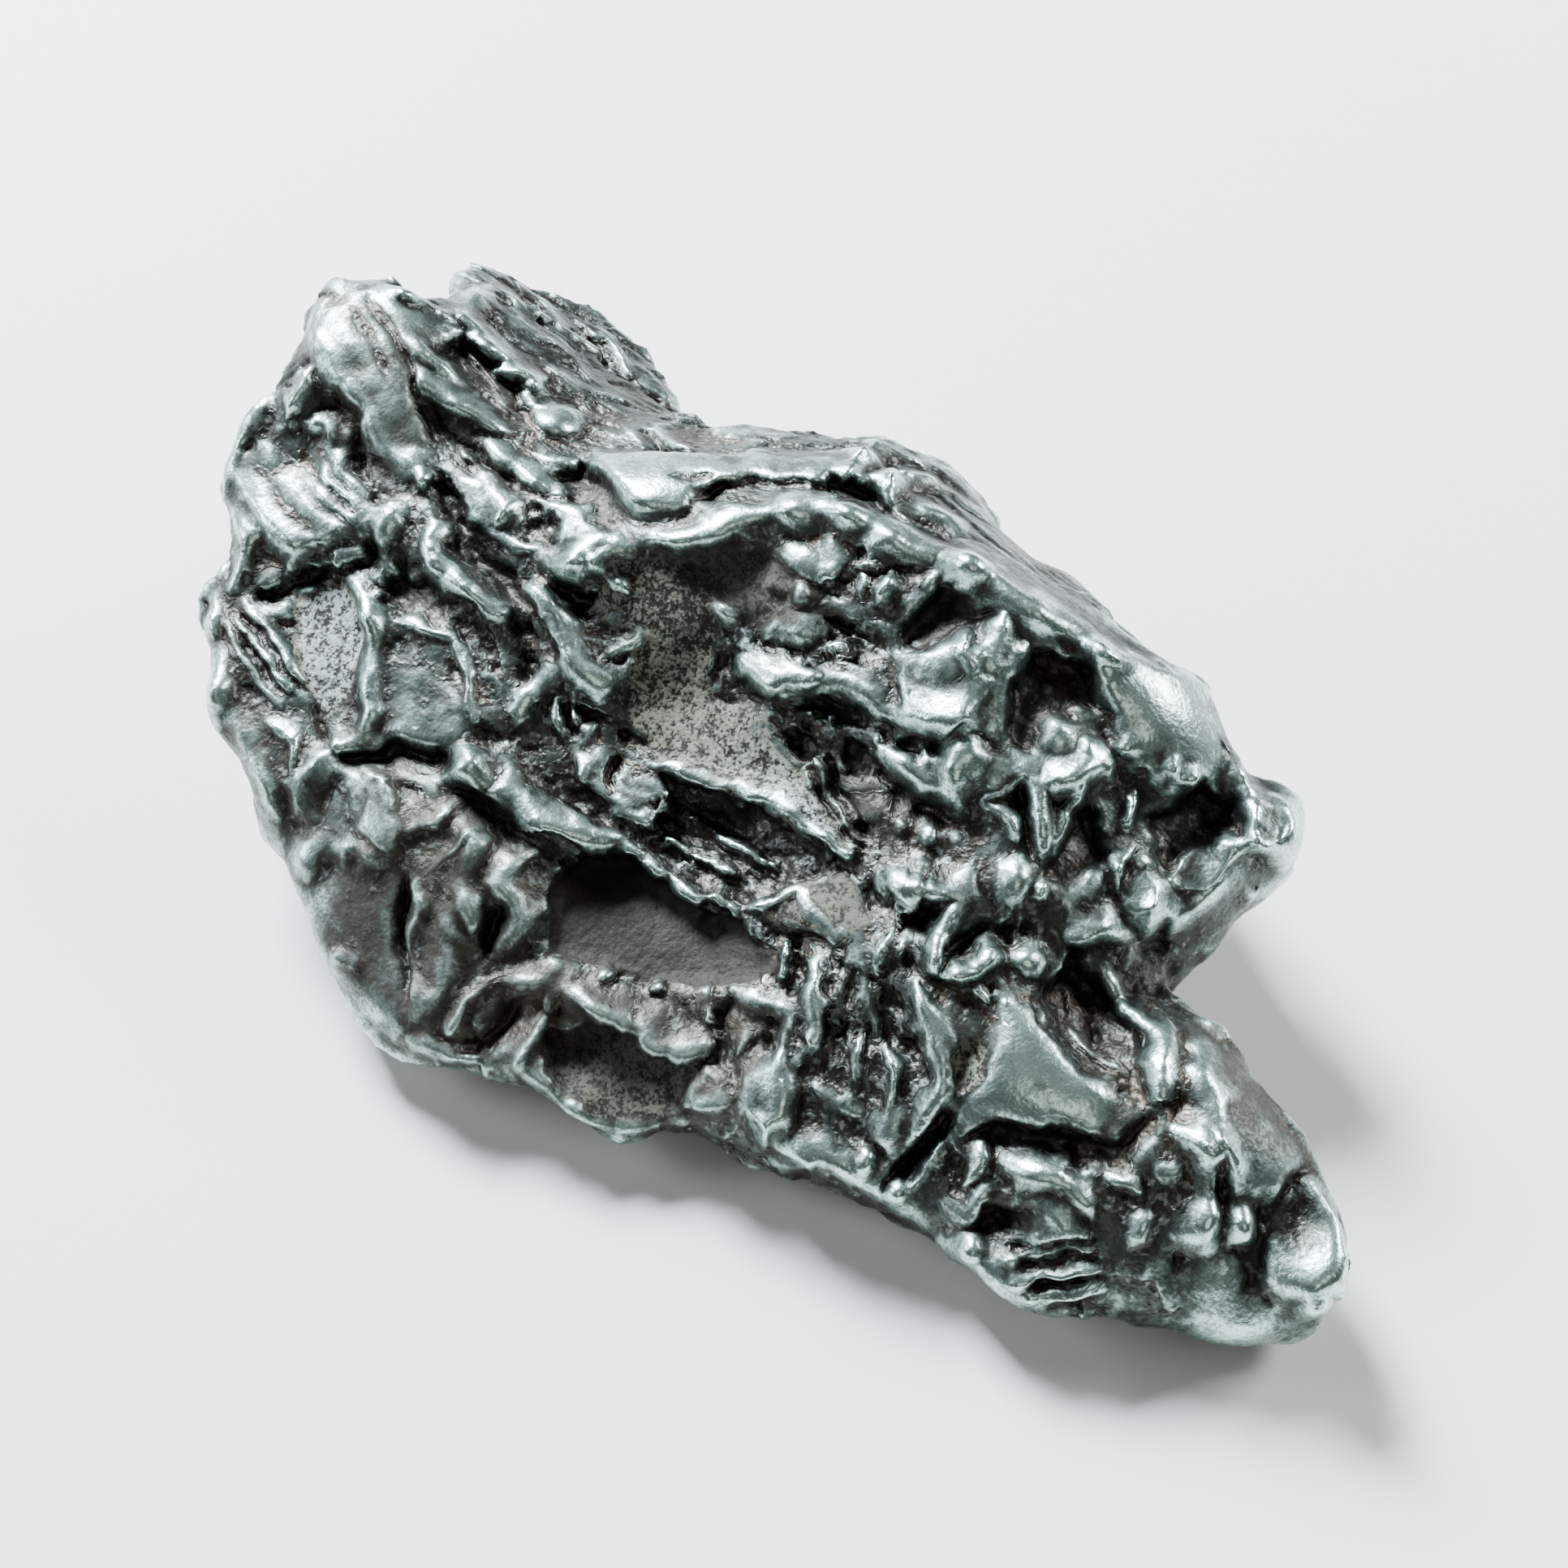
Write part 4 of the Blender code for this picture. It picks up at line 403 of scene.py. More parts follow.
LOWER_LINES = [
    (0.35, 0.30, [(2, -15.5), (2.5, -16.8), (3, -18)]),
    (0.40, 0.32, [(-0.8, -16.5), (-1.2, -18), (-0.5, -19.5)]),
    (0.40, 0.35, [(10.4, -11.2), (9.8, -12.2), (9.2, -13)]),
    (0.45, 0.32, [(-6.8, -17), (-5.8, -17.3), (-5, -18.5), (-4, -19.4), (-3, -20)]),
    (0.35, 0.35, [(-6, -21), (-7.5, -21.6)]), (0.35, 0.35, [(-1.5, -21), (0.3, -20.2), (1.2, -19.4)]),
    (0.40, 0.32, [(7, -5.4), (8.2, -6.6)]), (0.35, 0.28, [(9.2, -9), (9.2, -9.8)]),
    (0.35, 0.30, [(-8.6, -13), (-8.2, -14.6), (-8.9, -16)]),
    (0.30, 0.30, [(11.5, -9.8), (12.4, -10.8), (13, -11.5)]),
    (0.30, 0.26, [(-7, -13.4), (-6.4, -14.6), (-6.6, -16)]),
]
CREST_LINES = [
    (0.45, 0.35, [(12.5, 13), (12.9, 12.6), (13.3, 12.2)]), (0.45, 0.32, [(13.7, 13.3), (14, 12.7)]),
    (0.50, 0.35, [(13.1, 10.4), (13.5, 9.8), (13.9, 9.2)]),
    (0.40, 0.32, [(11.3, 8.3), (12, 7), (12.8, 5.7)]), (0.45, 0.35, [(9.4, 6.3), (9.5, 5.4), (9, 4.6)]),
    (0.40, 0.30, [(13.6, 4.5), (14.2, 3.7)]), (0.40, 0.32, [(9, 4.5), (10, 4.7), (11.5, 4.5)]),
    (0.35, 0.30, [(15, -1.2), (16, -1)]),
    (0.35, 0.30, [(3.4, 8.2), (3.9, 7.2), (4.6, 7.4), (4.4, 8.3)]),
    (0.35, 0.30, [(-8.4, 14.6), (-6, 14.5), (-6.4, 13.2), (-7, 12.5), (-5, 10.5)]),
    (0.35, 0.35, [(-10, 17.5), (-10.3, 14), (-8.5, 11)]),
    (0.35, 0.30, [(14.6, 8.9), (14.9, 7.8), (15.6, 7.2)]), (0.35, 0.28, [(14, 2.6), (14.6, 1.8)]),
]
TAIL_LINES = [
    (0.40, 0.32, [(14, -5), (15, -5.6), (15.6, -6.6)]), (0.35, 0.30, [(13.2, -5.7), (14, -6.8)]),
    (0.35, 0.28, [(19, -5.8), (19, -7.5)]), (0.40, 0.32, [(20.2, -4.3), (20.5, -5), (20.4, -5.9)]),
    (0.40, 0.35, [(26, 2.9), (27.5, 2.7), (28.5, 2.4)]), (0.35, 0.30, [(24.5, -1.3), (25.8, -0.6)]),
    (0.35, 0.30, [(19, 1.6), (20.6, 1.6), (22, 1.8)]),
    (0.30, 0.24, [(23.6, -6.8), (24.8, -5), (26, -3.4)]),
    (0.30, 0.24, [(24.3, -7), (25.4, -5.4), (26.7, -3.6)]),
    (0.30, 0.24, [(25.2, -6.8), (26.1, -5.3), (27.2, -3.8)]),
    (0.28, 0.22, [(23, -6.2), (24, -4.8), (25, -3.7)]),
    (0.28, 0.22, [(26, -6), (26.6, -5), (27.5, -3.9)]),
    (0.35, 0.32, [(13.7, -11.6), (14.5, -10.8), (15, -10)]),
    (0.30, 0.26, [(12.8, -8.4), (13.9, -7.9), (15.2, -7.4)]),
]
FINE_LINES = LOBE_LINES + LEFT_LINES + CENTRE_LINES + LOWER_LINES + CREST_LINES + TAIL_LINES

# Fine grooves of the crown: depth, half width, line in plan
FINE_GROOVES = [
    (0.40, 0.24, [(-29, -9.3), (-24, -9.25)]), (0.40, 0.24, [(-30, -10.1), (-24, -10)]),
    (0.40, 0.24, [(-30, -11.4), (-24.5, -11.2)]), (0.35, 0.24, [(-28.6, -8.5), (-25, -8.55)]),
    (0.40, 0.26, [(-32.5, -2.4), (-28, -2.9), (-24, -4.2)]), (0.35, 0.24, [(-32, -3.6), (-28, -4.1)]),
    (0.35, 0.24, [(-34, 7.6), (-31, 6.8), (-28.4, 7.8)]),
    (0.35, 0.24, [(-32, 9.4), (-29, 9.2), (-26.6, 8.2)]),
    (0.50, 0.28, [(-13.2, 3.4), (-12.4, 4.2), (-11.9, 4.8)]), (0.35, 0.24, [(-11, 5), (-11.2, 3.4)]),
    (0.40, 0.26, [(-3.2, 7.3), (-2.6, 6.9)]), (0.40, 0.24, [(28.4, -1.2), (28.9, -0.7)]),
    (0.40, 0.24, [(24, -6.2), (25.6, -4)]), (0.40, 0.24, [(25, -6.2), (26.6, -4.2)]),
    (0.40, 0.26, [(4.2, -13.9), (5.4, -13.2)]), (0.45, 0.28, [(3.6, 3), (4.2, 3.3), (5.6, 3.6)]),
    (0.45, 0.26, [(5.6, 4.4), (6.4, 4.6)]), (0.40, 0.24, [(-8.8, -6.3), (-8, -7), (-7.4, -7)]),
    (0.45, 0.28, [(-5.6, -6), (-4.9, -6.9), (-4.4, -7.2)]),
    (0.35, 0.22, [(1.8, 0.2), (4.2, -0.2), (6.6, -0.5)]),
    (0.35, 0.22, [(2.2, 0.9), (4.4, 0.5), (6.6, 0)]), (0.40, 0.26, [(-17.6, -16), (-14.8, -16.6)]),
    (0.40, 0.26, [(-24, -16.1), (-19, -16.1)]), (0.40, 0.26, [(-23.6, -17), (-19, -17)]),
    (0.40, 0.26, [(-14, -17.2), (-11, -17.6), (-9.4, -17.2)]),
    (0.40, 0.26, [(-5.6, -17.6), (-3.6, -17), (-2, -17.6)]), (0.40, 0.26, [(6, 11.6), (7.2, 12)]),
]

# Small nubs: place in plan, radius, height
NUBS = [
    (-31.6, -0.5, 0.6, 0.4), (-30.3, 0.7, 0.6, 0.4), (-19.3, -6.9, 0.8, 0.5), (-22.3, -5.9, 0.7, 0.4),
    (-2.1, -5.5, 0.6, 0.4), (-0.7, 6.9, 0.7, 0.5), (0.5, 8.5, 0.5, 0.4), (3.7, 7.7, 0.7, 0.4),
    (19.0, 12.5, 0.5, 0.4), (10.3, 9.5, 0.5, 0.4), (11.8, 9.8, 0.5, 0.4), (15.3, 9.0, 0.6, 0.4),
    (15.0, 7.8, 0.5, 0.4), (16.5, 8.3, 0.5, 0.4), (7.4, 3.9, 0.6, 0.4), (17.8, 1.0, 0.7, 0.5),
    (33.2, 2.7, 0.6, 0.4), (29.4, 1.8, 0.6, 0.4), (16.5, -8.3, 0.6, 0.4), (18.5, -8.0, 0.6, 0.4),
    (22.5, -7.2, 0.6, 0.4), (4.3, -11.0, 0.5, 0.4), (2.2, -12.5, 0.5, 0.4), (26.8, -1.6, 0.8, 0.4),
    (-24.6, -17.8, 0.8, 0.4), (-21.4, -19.4, 0.8, 0.4), (-28.6, -11.4, 0.7, 0.3), (-13.8, 8.6, 0.9, 0.5),
    (-17.2, 10.6, 1.0, 0.5), (-4.0, 15.4, 1.0, 0.5), (5.2, 3.3, 0.5, 0.3), (3.0, 5.0, 0.5, 0.3),
    (8.4, 1.9, 0.5, 0.3), (7.2, 1.3, 0.5, 0.3), (9.0, 0.8, 0.5, 0.3), (6.9, 2.2, 0.5, 0.3),
    (-1.8, 6.3, 0.5, 0.3), (-4.0, 4.2, 0.5, 0.3), (20.9, 2.6, 0.5, 0.3), (26.2, 0.6, 0.6, 0.3),
]

# Facets whose floor is flat and speckled: how pale the speckle is, partly the floor's own tone and partly
# painted shade on sunk and recessed floors, and how much paler it gets each mm along the way given after
# this table, a painted shade that fades away from the ledge above
SPECKLED = {
    "central speckled plate": (0.65, 0.03), "great dark plate": (0.0, 0.01), "rim pocket": (0.22, 0.05),
    "left speckled plate": (0.9, 0.0), "tail crater": (0.6, 0.0), "recess under crest": (0.15, 0.02),
    "fallen facet": (0.34, 0.0),
}
# The way in plan that the painted shade of the ledge above fades across the speckled floors
LEDGE_SHADE_WAY = np.array([0.9, -0.43])

# Stretches darkened partly by brown oxide and partly by painted shade, in hollows, gaps and recesses and
# on the flanks turned from the window: how dark, corners in plan
STAINED_AND_SHADED = {
    "front lobe hollows": (0.4, [(-36, -3), (-30, -1), (-24, -4), (-24, -8), (-30, -8), (-35, -6)]),
    "furrow": (0.7, [(-29, 0.8), (-26.4, 1), (-22.4, 0.8), (-22, 0), (-24, -0.9), (-28, -0.9)]),
    "lobe valley": (0.8, [(-26, -3), (-22, -1.8), (-18, -1.8), (-18, -2.8), (-22, -4), (-25.6, -4)]),
    "pit beside furrow": (0.8, [(-18.5, 1.3), (-13, 0.9), (-13, -0.9), (-18.5, -0.4)]),
    "second lump": (0.6, [(-18, 9.5), (-16, 8), (-14, 5.6), (-15.5, 5.2), (-18.8, 6)]),
    "smooth hollow": (0.6, [(-20, -8.6), (-15.6, -8.2), (-16.5, -9.4), (-18, -10.4), (-20, -10.4)]),
    "behind crest": (0.8, [(-7.6, 9), (-5.5, 10.2), (-3.2, 9.7), (-3.8, 8.8), (-6, 8)]),
    "recess": (0.8, [
        (-10.6, 0.2), (-8.3, 3.4), (-6, 4.8), (-1, 5), (-1.2, 4.2), (-3.6, 3), (-7.4, 0.8)]),
    "under ledge": (0.2, [
        (-1.6, -5), (0.6, -3), (4, -2.3), (5, -3.5), (4, -5.9), (-1, -7.4), (-2.2, -6)]),
    "window": (0.9, [(1.1, 8.9), (2.4, 9.3), (3.4, 9.4), (2.8, 6.8), (1.2, 6)]),
    "beside arch": (0.7, [(5.9, 10.2), (8.3, 11.8), (9.2, 10), (8.7, 7), (7.4, 7.4)]),
    "cavity": (0.4, [(14.1, 13), (15.6, 14.5), (16.8, 14.4), (16.3, 10), (15, 9.8), (14.2, 10.8)]),
    "tall hollow": (0.6, [(12.4, 8), (13.9, 8), (14.5, 5.6), (13.6, 4.6), (12.6, 6.4)]),
    "streaks": (0.7, [(1.5, 1.8), (4, 1.6), (8, 2.4), (7, 0), (6.4, -0.8), (1.6, -0.2)]),
    "gully": (0.6, [(16.2, 4.4), (18, 4.8), (22.8, 2.4), (24.2, 0.4), (22, 0.8), (17.2, 0.9)]),
    "block gap": (0.8, [
        (24.4, 1.4), (24.4, -0.6), (22, -2.4), (19.6, -5), (19.2, -4.4), (21.6, -1.8), (23.2, 0)]),
    "trench": (0.7, [
        (-21.5, -5), (-17, -5.4), (-13.3, -5.2), (-13.3, -6.2), (-17, -6.9), (-21.5, -5.8)]),
    "notch": (0.8, [(17.6, 8.2), (20.5, 7.6), (20.5, 5.2), (18.3, 5.2)]),
    "below great ledge": (0.6, [
        (-9.6, -12.8), (-5, -11.6), (-3.6, -10.6), (-3.6, -12.6), (-6.4, -13.4)]),
    "lower plain": (0.8, [
        (-9, -12.6), (-3.6, -11), (-1, -14.6), (3, -12.4), (7, -8), (10, -8), (11, -12), (9, -15.4),
        (3, -18.6), (-1, -21.4), (-9, -22.2), (-11, -19)]),
    "left rim": (0.4, [(-27, -16), (-20, -20.8), (-11, -21.8), (-11, -19), (-18, -18), (-24, -15.4)]),
    "brown pit": (0.6, [
        (-14.6, -13.2), (-12.4, -13.2), (-9.4, -15.2), (-9.4, -17.4), (-12, -17), (-15, -15.6)]),
    "tail outer flank": (0.7, [
        (22.6, 5.2), (26, 4.2), (28, 4.0), (29.8, 4.2), (30.4, 6), (25, 7.6), (22, 7)]),
    "loop gap": (0.7, [(21.4, -4.6), (23.4, -4.6), (22.6, -6.4), (21.8, -7)]),
}

# Stretches worn smooth besides the raised facets: how worn, corners in plan
WORN = {
    "raised sheet": (0.9, [
        (-21, -11.7), (-17.5, -12), (-14, -12.3), (-13, -13), (-13.5, -15), (-14.5, -15.6),
        (-16, -13.6)]),
    "low dome": (0.9, [(-6.3, -17), (-4, -16.2), (-2, -17), (-1, -20), (-3, -20.5), (-4.5, -19)]),
    "tail flank": (0.9, [(28, -1.8), (31, -1.4), (32.4, 1), (30, 1.6), (28.4, 0.6)]),
    "tail outer flank": (0.2, [(23, 5), (26, 3.8), (28, 3.0), (30, 3.6), (31, 5.4), (25, 6.6)]),
    "tail block": (1.1, [
        (16, 0), (22.2, 0.4), (22.6, -0.6), (20.9, -1.6), (19.8, -3), (18.6, -4), (17.5, -1.6)]),
    "back lobe": (0.4, [(-36, 5), (-30, 6), (-26, 8), (-24, 10), (-30, 12), (-36, 10)]),
    "saddle": (0.8, [(5.2, 10), (6.6, 7.9), (7.8, 6.6), (6.3, 5.6), (5.4, 7)]),
    "mirror blob": (1.0, [(2.6, 4.8), (3.8, 6.4), (4.4, 7.2), (5.4, 6.8), (5.6, 5.2), (4.2, 4.4)]),
    "smooth hollow": (0.9, [(-20, -8.6), (-15.6, -8.2), (-16.5, -9.4), (-18, -10.4), (-20, -10.4)]),
    "tall hollow": (0.9, [(11.8, 8.5), (13.9, 8), (14.5, 5.6), (13.6, 4.6), (12.4, 6.6)]),
    "brown slope": (0.7, [(10, 5.8), (11.6, 5), (11.5, 3.8), (9.6, 4)]),
    "shield": (1.4, [(8, 13), (10.8, 16.8), (16, 14.8), (14, 13.4), (13.6, 11.8), (9.6, 11.6)]),
    "cavity": (0.5, [(14.6, 13), (15.6, 14.4), (16.6, 14), (16.2, 10.4), (15, 10.4)]),
}

# Stretches of metal smoothed to one swell: how much of the unevenness goes, corners in plan
SMOOTHED = {
    "shield": (0.9, [
        (8.3, 12.4), (9.2, 13.7), (10.2, 16.4), (11.5, 16.8), (13.2, 16), (15.7, 14.6), (14.7, 13.9),
        (13, 13), (12.2, 12.3), (11.6, 11.3), (10.5, 11.2), (9.2, 11.7)]),
    "mirror blob": (0.8, [
        (2.6, 5.0), (3, 5.7), (4.3, 6.9), (5.3, 6.7), (6.5, 6.1), (6.1, 5.2), (5.0, 4.4), (3.8, 4.3)]),
    "tail block": (0.75, [
        (15.8, 0.3), (18, 0.4), (22.6, 0.7), (23, -0.8), (21.2, -2), (20, -3.4), (18.8, -4.6),
        (17.9, -4.4), (17, -1.8)]),
    "tail outer flank": (0.85, [(22.6, 5.2), (26, 3.9), (28, 3.2), (29.8, 3.4), (30, 5.6), (25, 6.8)]),
    "tail tip": (0.8, [
        (30, 2.9), (30.3, 4.5), (31.6, 5.3), (32.7, 4.9), (33, 3.8), (32.6, 2.7), (31.3, 2.1)]),
    "prong blade": (0.8, [
        (18, 8.6), (18, 10.7), (18.2, 13.2), (18.9, 13.6), (19.2, 12), (19.2, 10.2), (18.8, 8.8)]),
    "front lobe": (0.45, [
        (-35, -2), (-33, -1.4), (-30, -2.4), (-27, -3.6), (-24, -4.6), (-24, -5.8), (-29, -6),
        (-33, -5.2)]),
    "left shoulder": (0.6, [
        (-31, -12), (-30, -9.8), (-24.5, -9.6), (-24.4, -11.4), (-26, -13.2), (-29, -13.6)]),
    "ring plate": (0.6, [(-21, -4.5), (-20.4, -2.9), (-18, -2.2), (-18, -4), (-18.9, -5)]),
    "great ledge": (0.5, [
        (-10, -12.3), (-9.4, -11.2), (-6.6, -10.2), (-4.2, -9.6), (-3.4, -9.6), (-6, -11.4),
        (-8, -12)]),
    "low dome": (0.6, [(-6.3, -17), (-4, -16.2), (-2, -17), (-1, -20), (-3, -20.5), (-4.5, -19)]),
    "crest left plate": (0.6, [
        (-19, 2.8), (-17, 4.1), (-14, 5), (-11.2, 4.6), (-10.8, 2.4), (-13.2, 1.5), (-17, 1.8)]),
}

# Flats that stand across the crown's own slope: how fully, width of the edge, the way that they look,
# and corners in plan
TILTED = {
    "mirror blob": (0.85, 1.6, MIDDLE_SUN, [
        (2.6, 5.0), (3, 5.7), (4.3, 6.9), (5.3, 6.7), (6.5, 6.1), (6.1, 5.2), (5.0, 4.4), (3.8, 4.3)]),
    "tail tip": (0.85, 3.0, TIP_SUN, [
        (30.0, 2.8), (30.2, 4.6), (31.6, 5.3), (32.7, 4.9), (33.1, 3.8), (32.7, 2.6), (31.3, 2.1)]),
    "left striated shoulder": (0.3, 1.2, LEFT_SUN, [
        (-30.2, -12.5), (-30.7, -10.5), (-29.5, -8.6), (-26.6, -7.4), (-23.2, -8.8), (-24.4, -13)]),
}

# How worn the metal is, at points over the plan: above 0 mostly smooth, below 0 mostly broken
WEAR = [
    (-31, -3, 0.7), (-30, 8, 0.2), (-27, -10, 0.5), (-25, -17, 0.5), (-20, -13, 0.5), (-17, -7, 0.0),
    (-12, -17, 1.0), (-15, 3, 0.7), (-15, 10, 0.3), (-7, 15, 0.7), (2, 17, 0.5), (0, 9, 1.0),
    (-10, -4, 0.0), (0, 4, -0.2), (8, 3, 0.1), (8, -3, -0.6), (3, -5, -0.8), (10, -8, -0.2),
    (4, -14, 0.1), (13, 2, 0.6), (4, 6, 1.1), (10, 13, 1.3), (16, 9, 0.9), (16, -5, 0.3),
    (22, 0, 0.1), (22, 6, 0.5), (28, 0, 0.4), (32, 3, 1.5), (25, -5, 0.3), (19, -7, 0.2),
]

# What is added to the wear on raised and sunk facets, ridges, grooves, and the stretches stained and
# darkened with painted shade; then the wear of the hidden faces, and the most that is kept for the
# material
RAISED_WEAR, SUNK_WEAR, RIDGE_WEAR, GROOVE_WEAR, STAIN_AND_SHADE_WEAR = 0.5, -0.3, 1.0, -0.6, 0.5
HIDDEN_WEAR = 1.5
WEAR_MOST = 2.0

# Edges of the facets and stretches: how much of an edge's width each side takes, their widths, and how
# ragged the facets' edges are, with the length and shift of each wave
EDGE_SPREAD = 0.45
WORN_EDGE, STAIN_AND_SHADE_EDGE, SMOOTHED_EDGE = 1.0, 1.2, 1.2
RAGGED = 0.35
RAGGED_WAVES = [(1.0, 5.5), (0.5, 9.5)]

# Waves of the whole skin: wavelength and size of each; the hidden faces are lumpy, and WOBBLES push
# drawn lines about
ROUGH_WAVES = [(5.0, 0.35), (2.6, 0.16)]
HIDDEN_WAVES = [(11.0, 0.8), (5.0, 0.6), (2.4, 0.35), (1.2, 0.12)]
LUMP_MEAN, LUMP_SWING = 0.45, 2.0
WOBBLES = [(3.6, 0.4), (1.5, 0.22), (0.7, 0.09)]
WOBBLE_SHIFTS = (3.1, 8.7)
SEED_FAR = 37.0
WAVE_HEIGHT = 1.4

# Crumb: wavelength and size of its waves, how sharp and drawn out its crests are, how deep it goes, how
# far plateaus stand up, and how much of all this a speckled floor lacks
CRUMB_WAVES = [(2.6, 0.55), (1.3, 0.32), (0.65, 0.2), (0.36, 0.12)]
CRUMB_SHARP = 3.0
CRUMB_STRETCH = 2.8
CRUMB_DEPTH, CRUMB_EDGE, CRUMB_LOWEST = 0.6, 4.5, -0.55
PLATEAU_RISE = 0.2
SPECKLED_LEVEL = 0.95

# Flakes: size and height of each kind; how they are drawn out, shifted, stepped and tilted; how much of
# them is left on worn and on smooth metal, and the wear at which that changes
FLAKES = [(2.6, 0.4), (1.25, 0.26), (0.62, 0.14)]
FLAKE_STRETCH = 2.6
FLAKE_SHIFT, FLAKE_STEP, FLAKE_LEAN, FLAKE_TILT = 0.45, 0.6, 1.2, 0.55
TILT_DRAW = 9
WORN_FLAKES, SMOOTH_FLAKES = 0.3, 0.04
BROKEN_FROM, BROKEN_TO = -0.6, 0.4
SMOOTH_FROM, SMOOTH_TO = 0.5, 1.2

# The metal flows one way at the lobes and another at the tail, and changes over across EAST_WAY
WEST_FLOW = np.array([0.94, 0.34, 0.0])
EAST_FLOW = np.array([0.75, -0.66, 0.0])
EAST_WAY = np.array([0.85, -0.5])
EAST_FROM, EAST_TO = 2.0, 9.0
EAST_SHIFT = 50

# Ridges and grooves: how their tops, sides and ends are rounded, and how their height varies along them
CREST_ROUND = 0.006
GENTLE_SIDE, SIDE_FROM, SIDE_TO = 1.8, -0.2, 0.9
TAPER = 0.22
UNEVEN, UNEVEN_LENGTH, UNEVEN_SHIFT = 0.9, 2.1, 17.0
RIDGE_WIDER, LINE_WIDER, LINE_HIGHER = 0.95, 1.15, 1.2

# Ground flats: how steeply the ground side falls, how soft its edge is, its dome, and the share of points
# that its top starts from, in percent
FLAT_SLOPE, FLAT_EDGE, FLAT_DOME, FLAT_PERCENTILE = 0.8, 0.1, 0.05, 95

# Looking back along FACE_WAY onto the crown: steps, share of the gap each step closes, and the longest way
TRACE_STEPS, TRACE_SHARE, TRACE_REACH = 5, 0.8, 4.0

# Passes of softening for the worn edges and for the nearby and further skin, and the wear that softens
SOFT_PASSES_WORN, SOFT_PASSES_FINE, SOFT_PASSES_BROAD = 1, 6, 70
SOFT_FROM, SOFT_TO = 0.3, 1.6

# The furthest below the crown that the material takes note of
MOST_SUNK = -2.5

# Directions and shuffled order of the noise's lattice
LATTICE, SEED = 256, 5
shuffle = np.random.default_rng(SEED)
SLOPES = shuffle.normal(size=(LATTICE, 3))
SLOPES /= np.linalg.norm(SLOPES, axis=1)[:, None]
ORDER = shuffle.permutation(LATTICE)


def closed_curve(points, steps):
    """Points of a smooth loop through the given ones."""
    p = np.array(points, float)
    before, after, beyond = np.roll(p, 1, 0), np.roll(p, -1, 0), np.roll(p, -2, 0)
    rows = []
    for t in np.arange(steps) / steps:
        rows.append(0.5 * (2 * p + t * (after - before)
                           + t * t * (2 * before - 5 * p + 4 * after - beyond)
                           + t ** 3 * (3 * p - before - 3 * after + beyond)))
    return np.stack(rows, 1).reshape(-1, p.shape[1])


def line_distance(spots, line):
    """Distance in plan from each spot to a line, and the line's other values at the nearest point."""
    best = np.full(len(spots), np.inf)
    value = np.zeros((len(spots), line.shape[1] - 2))
    for a, b in zip(line[:-1], line[1:]):
        run = b[:2] - a[:2]
        share = np.clip((spots - a[:2]) @ run / max(run @ run, TINY), 0, 1)[:, None]
        off = np.linalg.norm(spots - a[:2] - share * run, axis=1)
        near = off < best
        best[near] = off[near]
        value[near] = (a[2:] + share * (b[2:] - a[2:]))[near]
    return best, value


def inside(spots, corners):
    """Which spots lie inside a polygon in plan."""
    within = np.zeros(len(spots), bool)
    x, y = spots.T
    for a, b in zip(corners, np.roll(corners, -1, 0)):
        crosses = (a[1] > y) != (b[1] > y)
        rise = b[1] - a[1] if b[1] != a[1] else TINY
        within ^= crosses & (x < (b[0] - a[0]) * (y - a[1]) / rise + a[0])
    return within


def close_to(spots, line, reach):
    """The numbers of the spots within the line's box, widened by reach."""
    low, high = line[:, :2].min(0) - reach, line[:, :2].max(0) + reach
    return np.flatnonzero(np.all((spots > low) & (spots < high), axis=1))


def ease(values, low, high):
    """0 below low, 1 above high, and a smooth rise between."""
    t = np.clip((values - low) / (high - low), 0, 1)
    return t * t * (3 - 2 * t)


def bend_weights(off):
    """How much a thin plate's bend at one point lifts it at the given distances."""
    return np.where(off > 0, off ** 2 * np.log(off + 1e-12), 0.0)


class Sheet:
    """A smooth sheet over the plan, bent like a thin plate to pass near the given heights."""

    LOW, HIGH, STEP = np.array([-44.0, -30.0]), np.array([44.0, 30.0]), 0.5

    def __init__(self, points):
        at = np.array(points, float)
        count = len(at)
        off = np.linalg.norm(at[:, None, :2] - at[None, :, :2], axis=2)
        system = np.zeros((count + 3, count + 3))
        system[:count, :count] = bend_weights(off) + PLATE_STIFFNESS * np.eye(count)
        system[:count, count] = system[count, :count] = 1
        system[:count, count + 1:] = at[:, :2]
        system[count + 1:, :count] = at[:, :2].T
        weights = np.linalg.solve(system, np.append(at[:, 2], [0, 0, 0]))
        x, y = (np.arange(low, high, self.STEP) for low, high in zip(self.LOW, self.HIGH))
        grid = np.stack(np.meshgrid(x, y, indexing="ij"), 2)
        off = np.linalg.norm(grid[:, :, None] - at[:, :2], axis=3)
        self.grid = bend_weights(off) @ weights[:count] + weights[count] + grid @ weights[count + 1:]

    def height(self, spots):
        at = (spots - self.LOW) / self.STEP
        cell = np.clip(at.astype(int), 0, np.array(self.grid.shape) - 2)
        (i, j), (u, v) = cell.T, (at - cell).T
        near = self.grid[i, j] * (1 - v) + self.grid[i, j + 1] * v
        far = self.grid[i + 1, j] * (1 - v) + self.grid[i + 1, j + 1] * v
        return near * (1 - u) + far * u


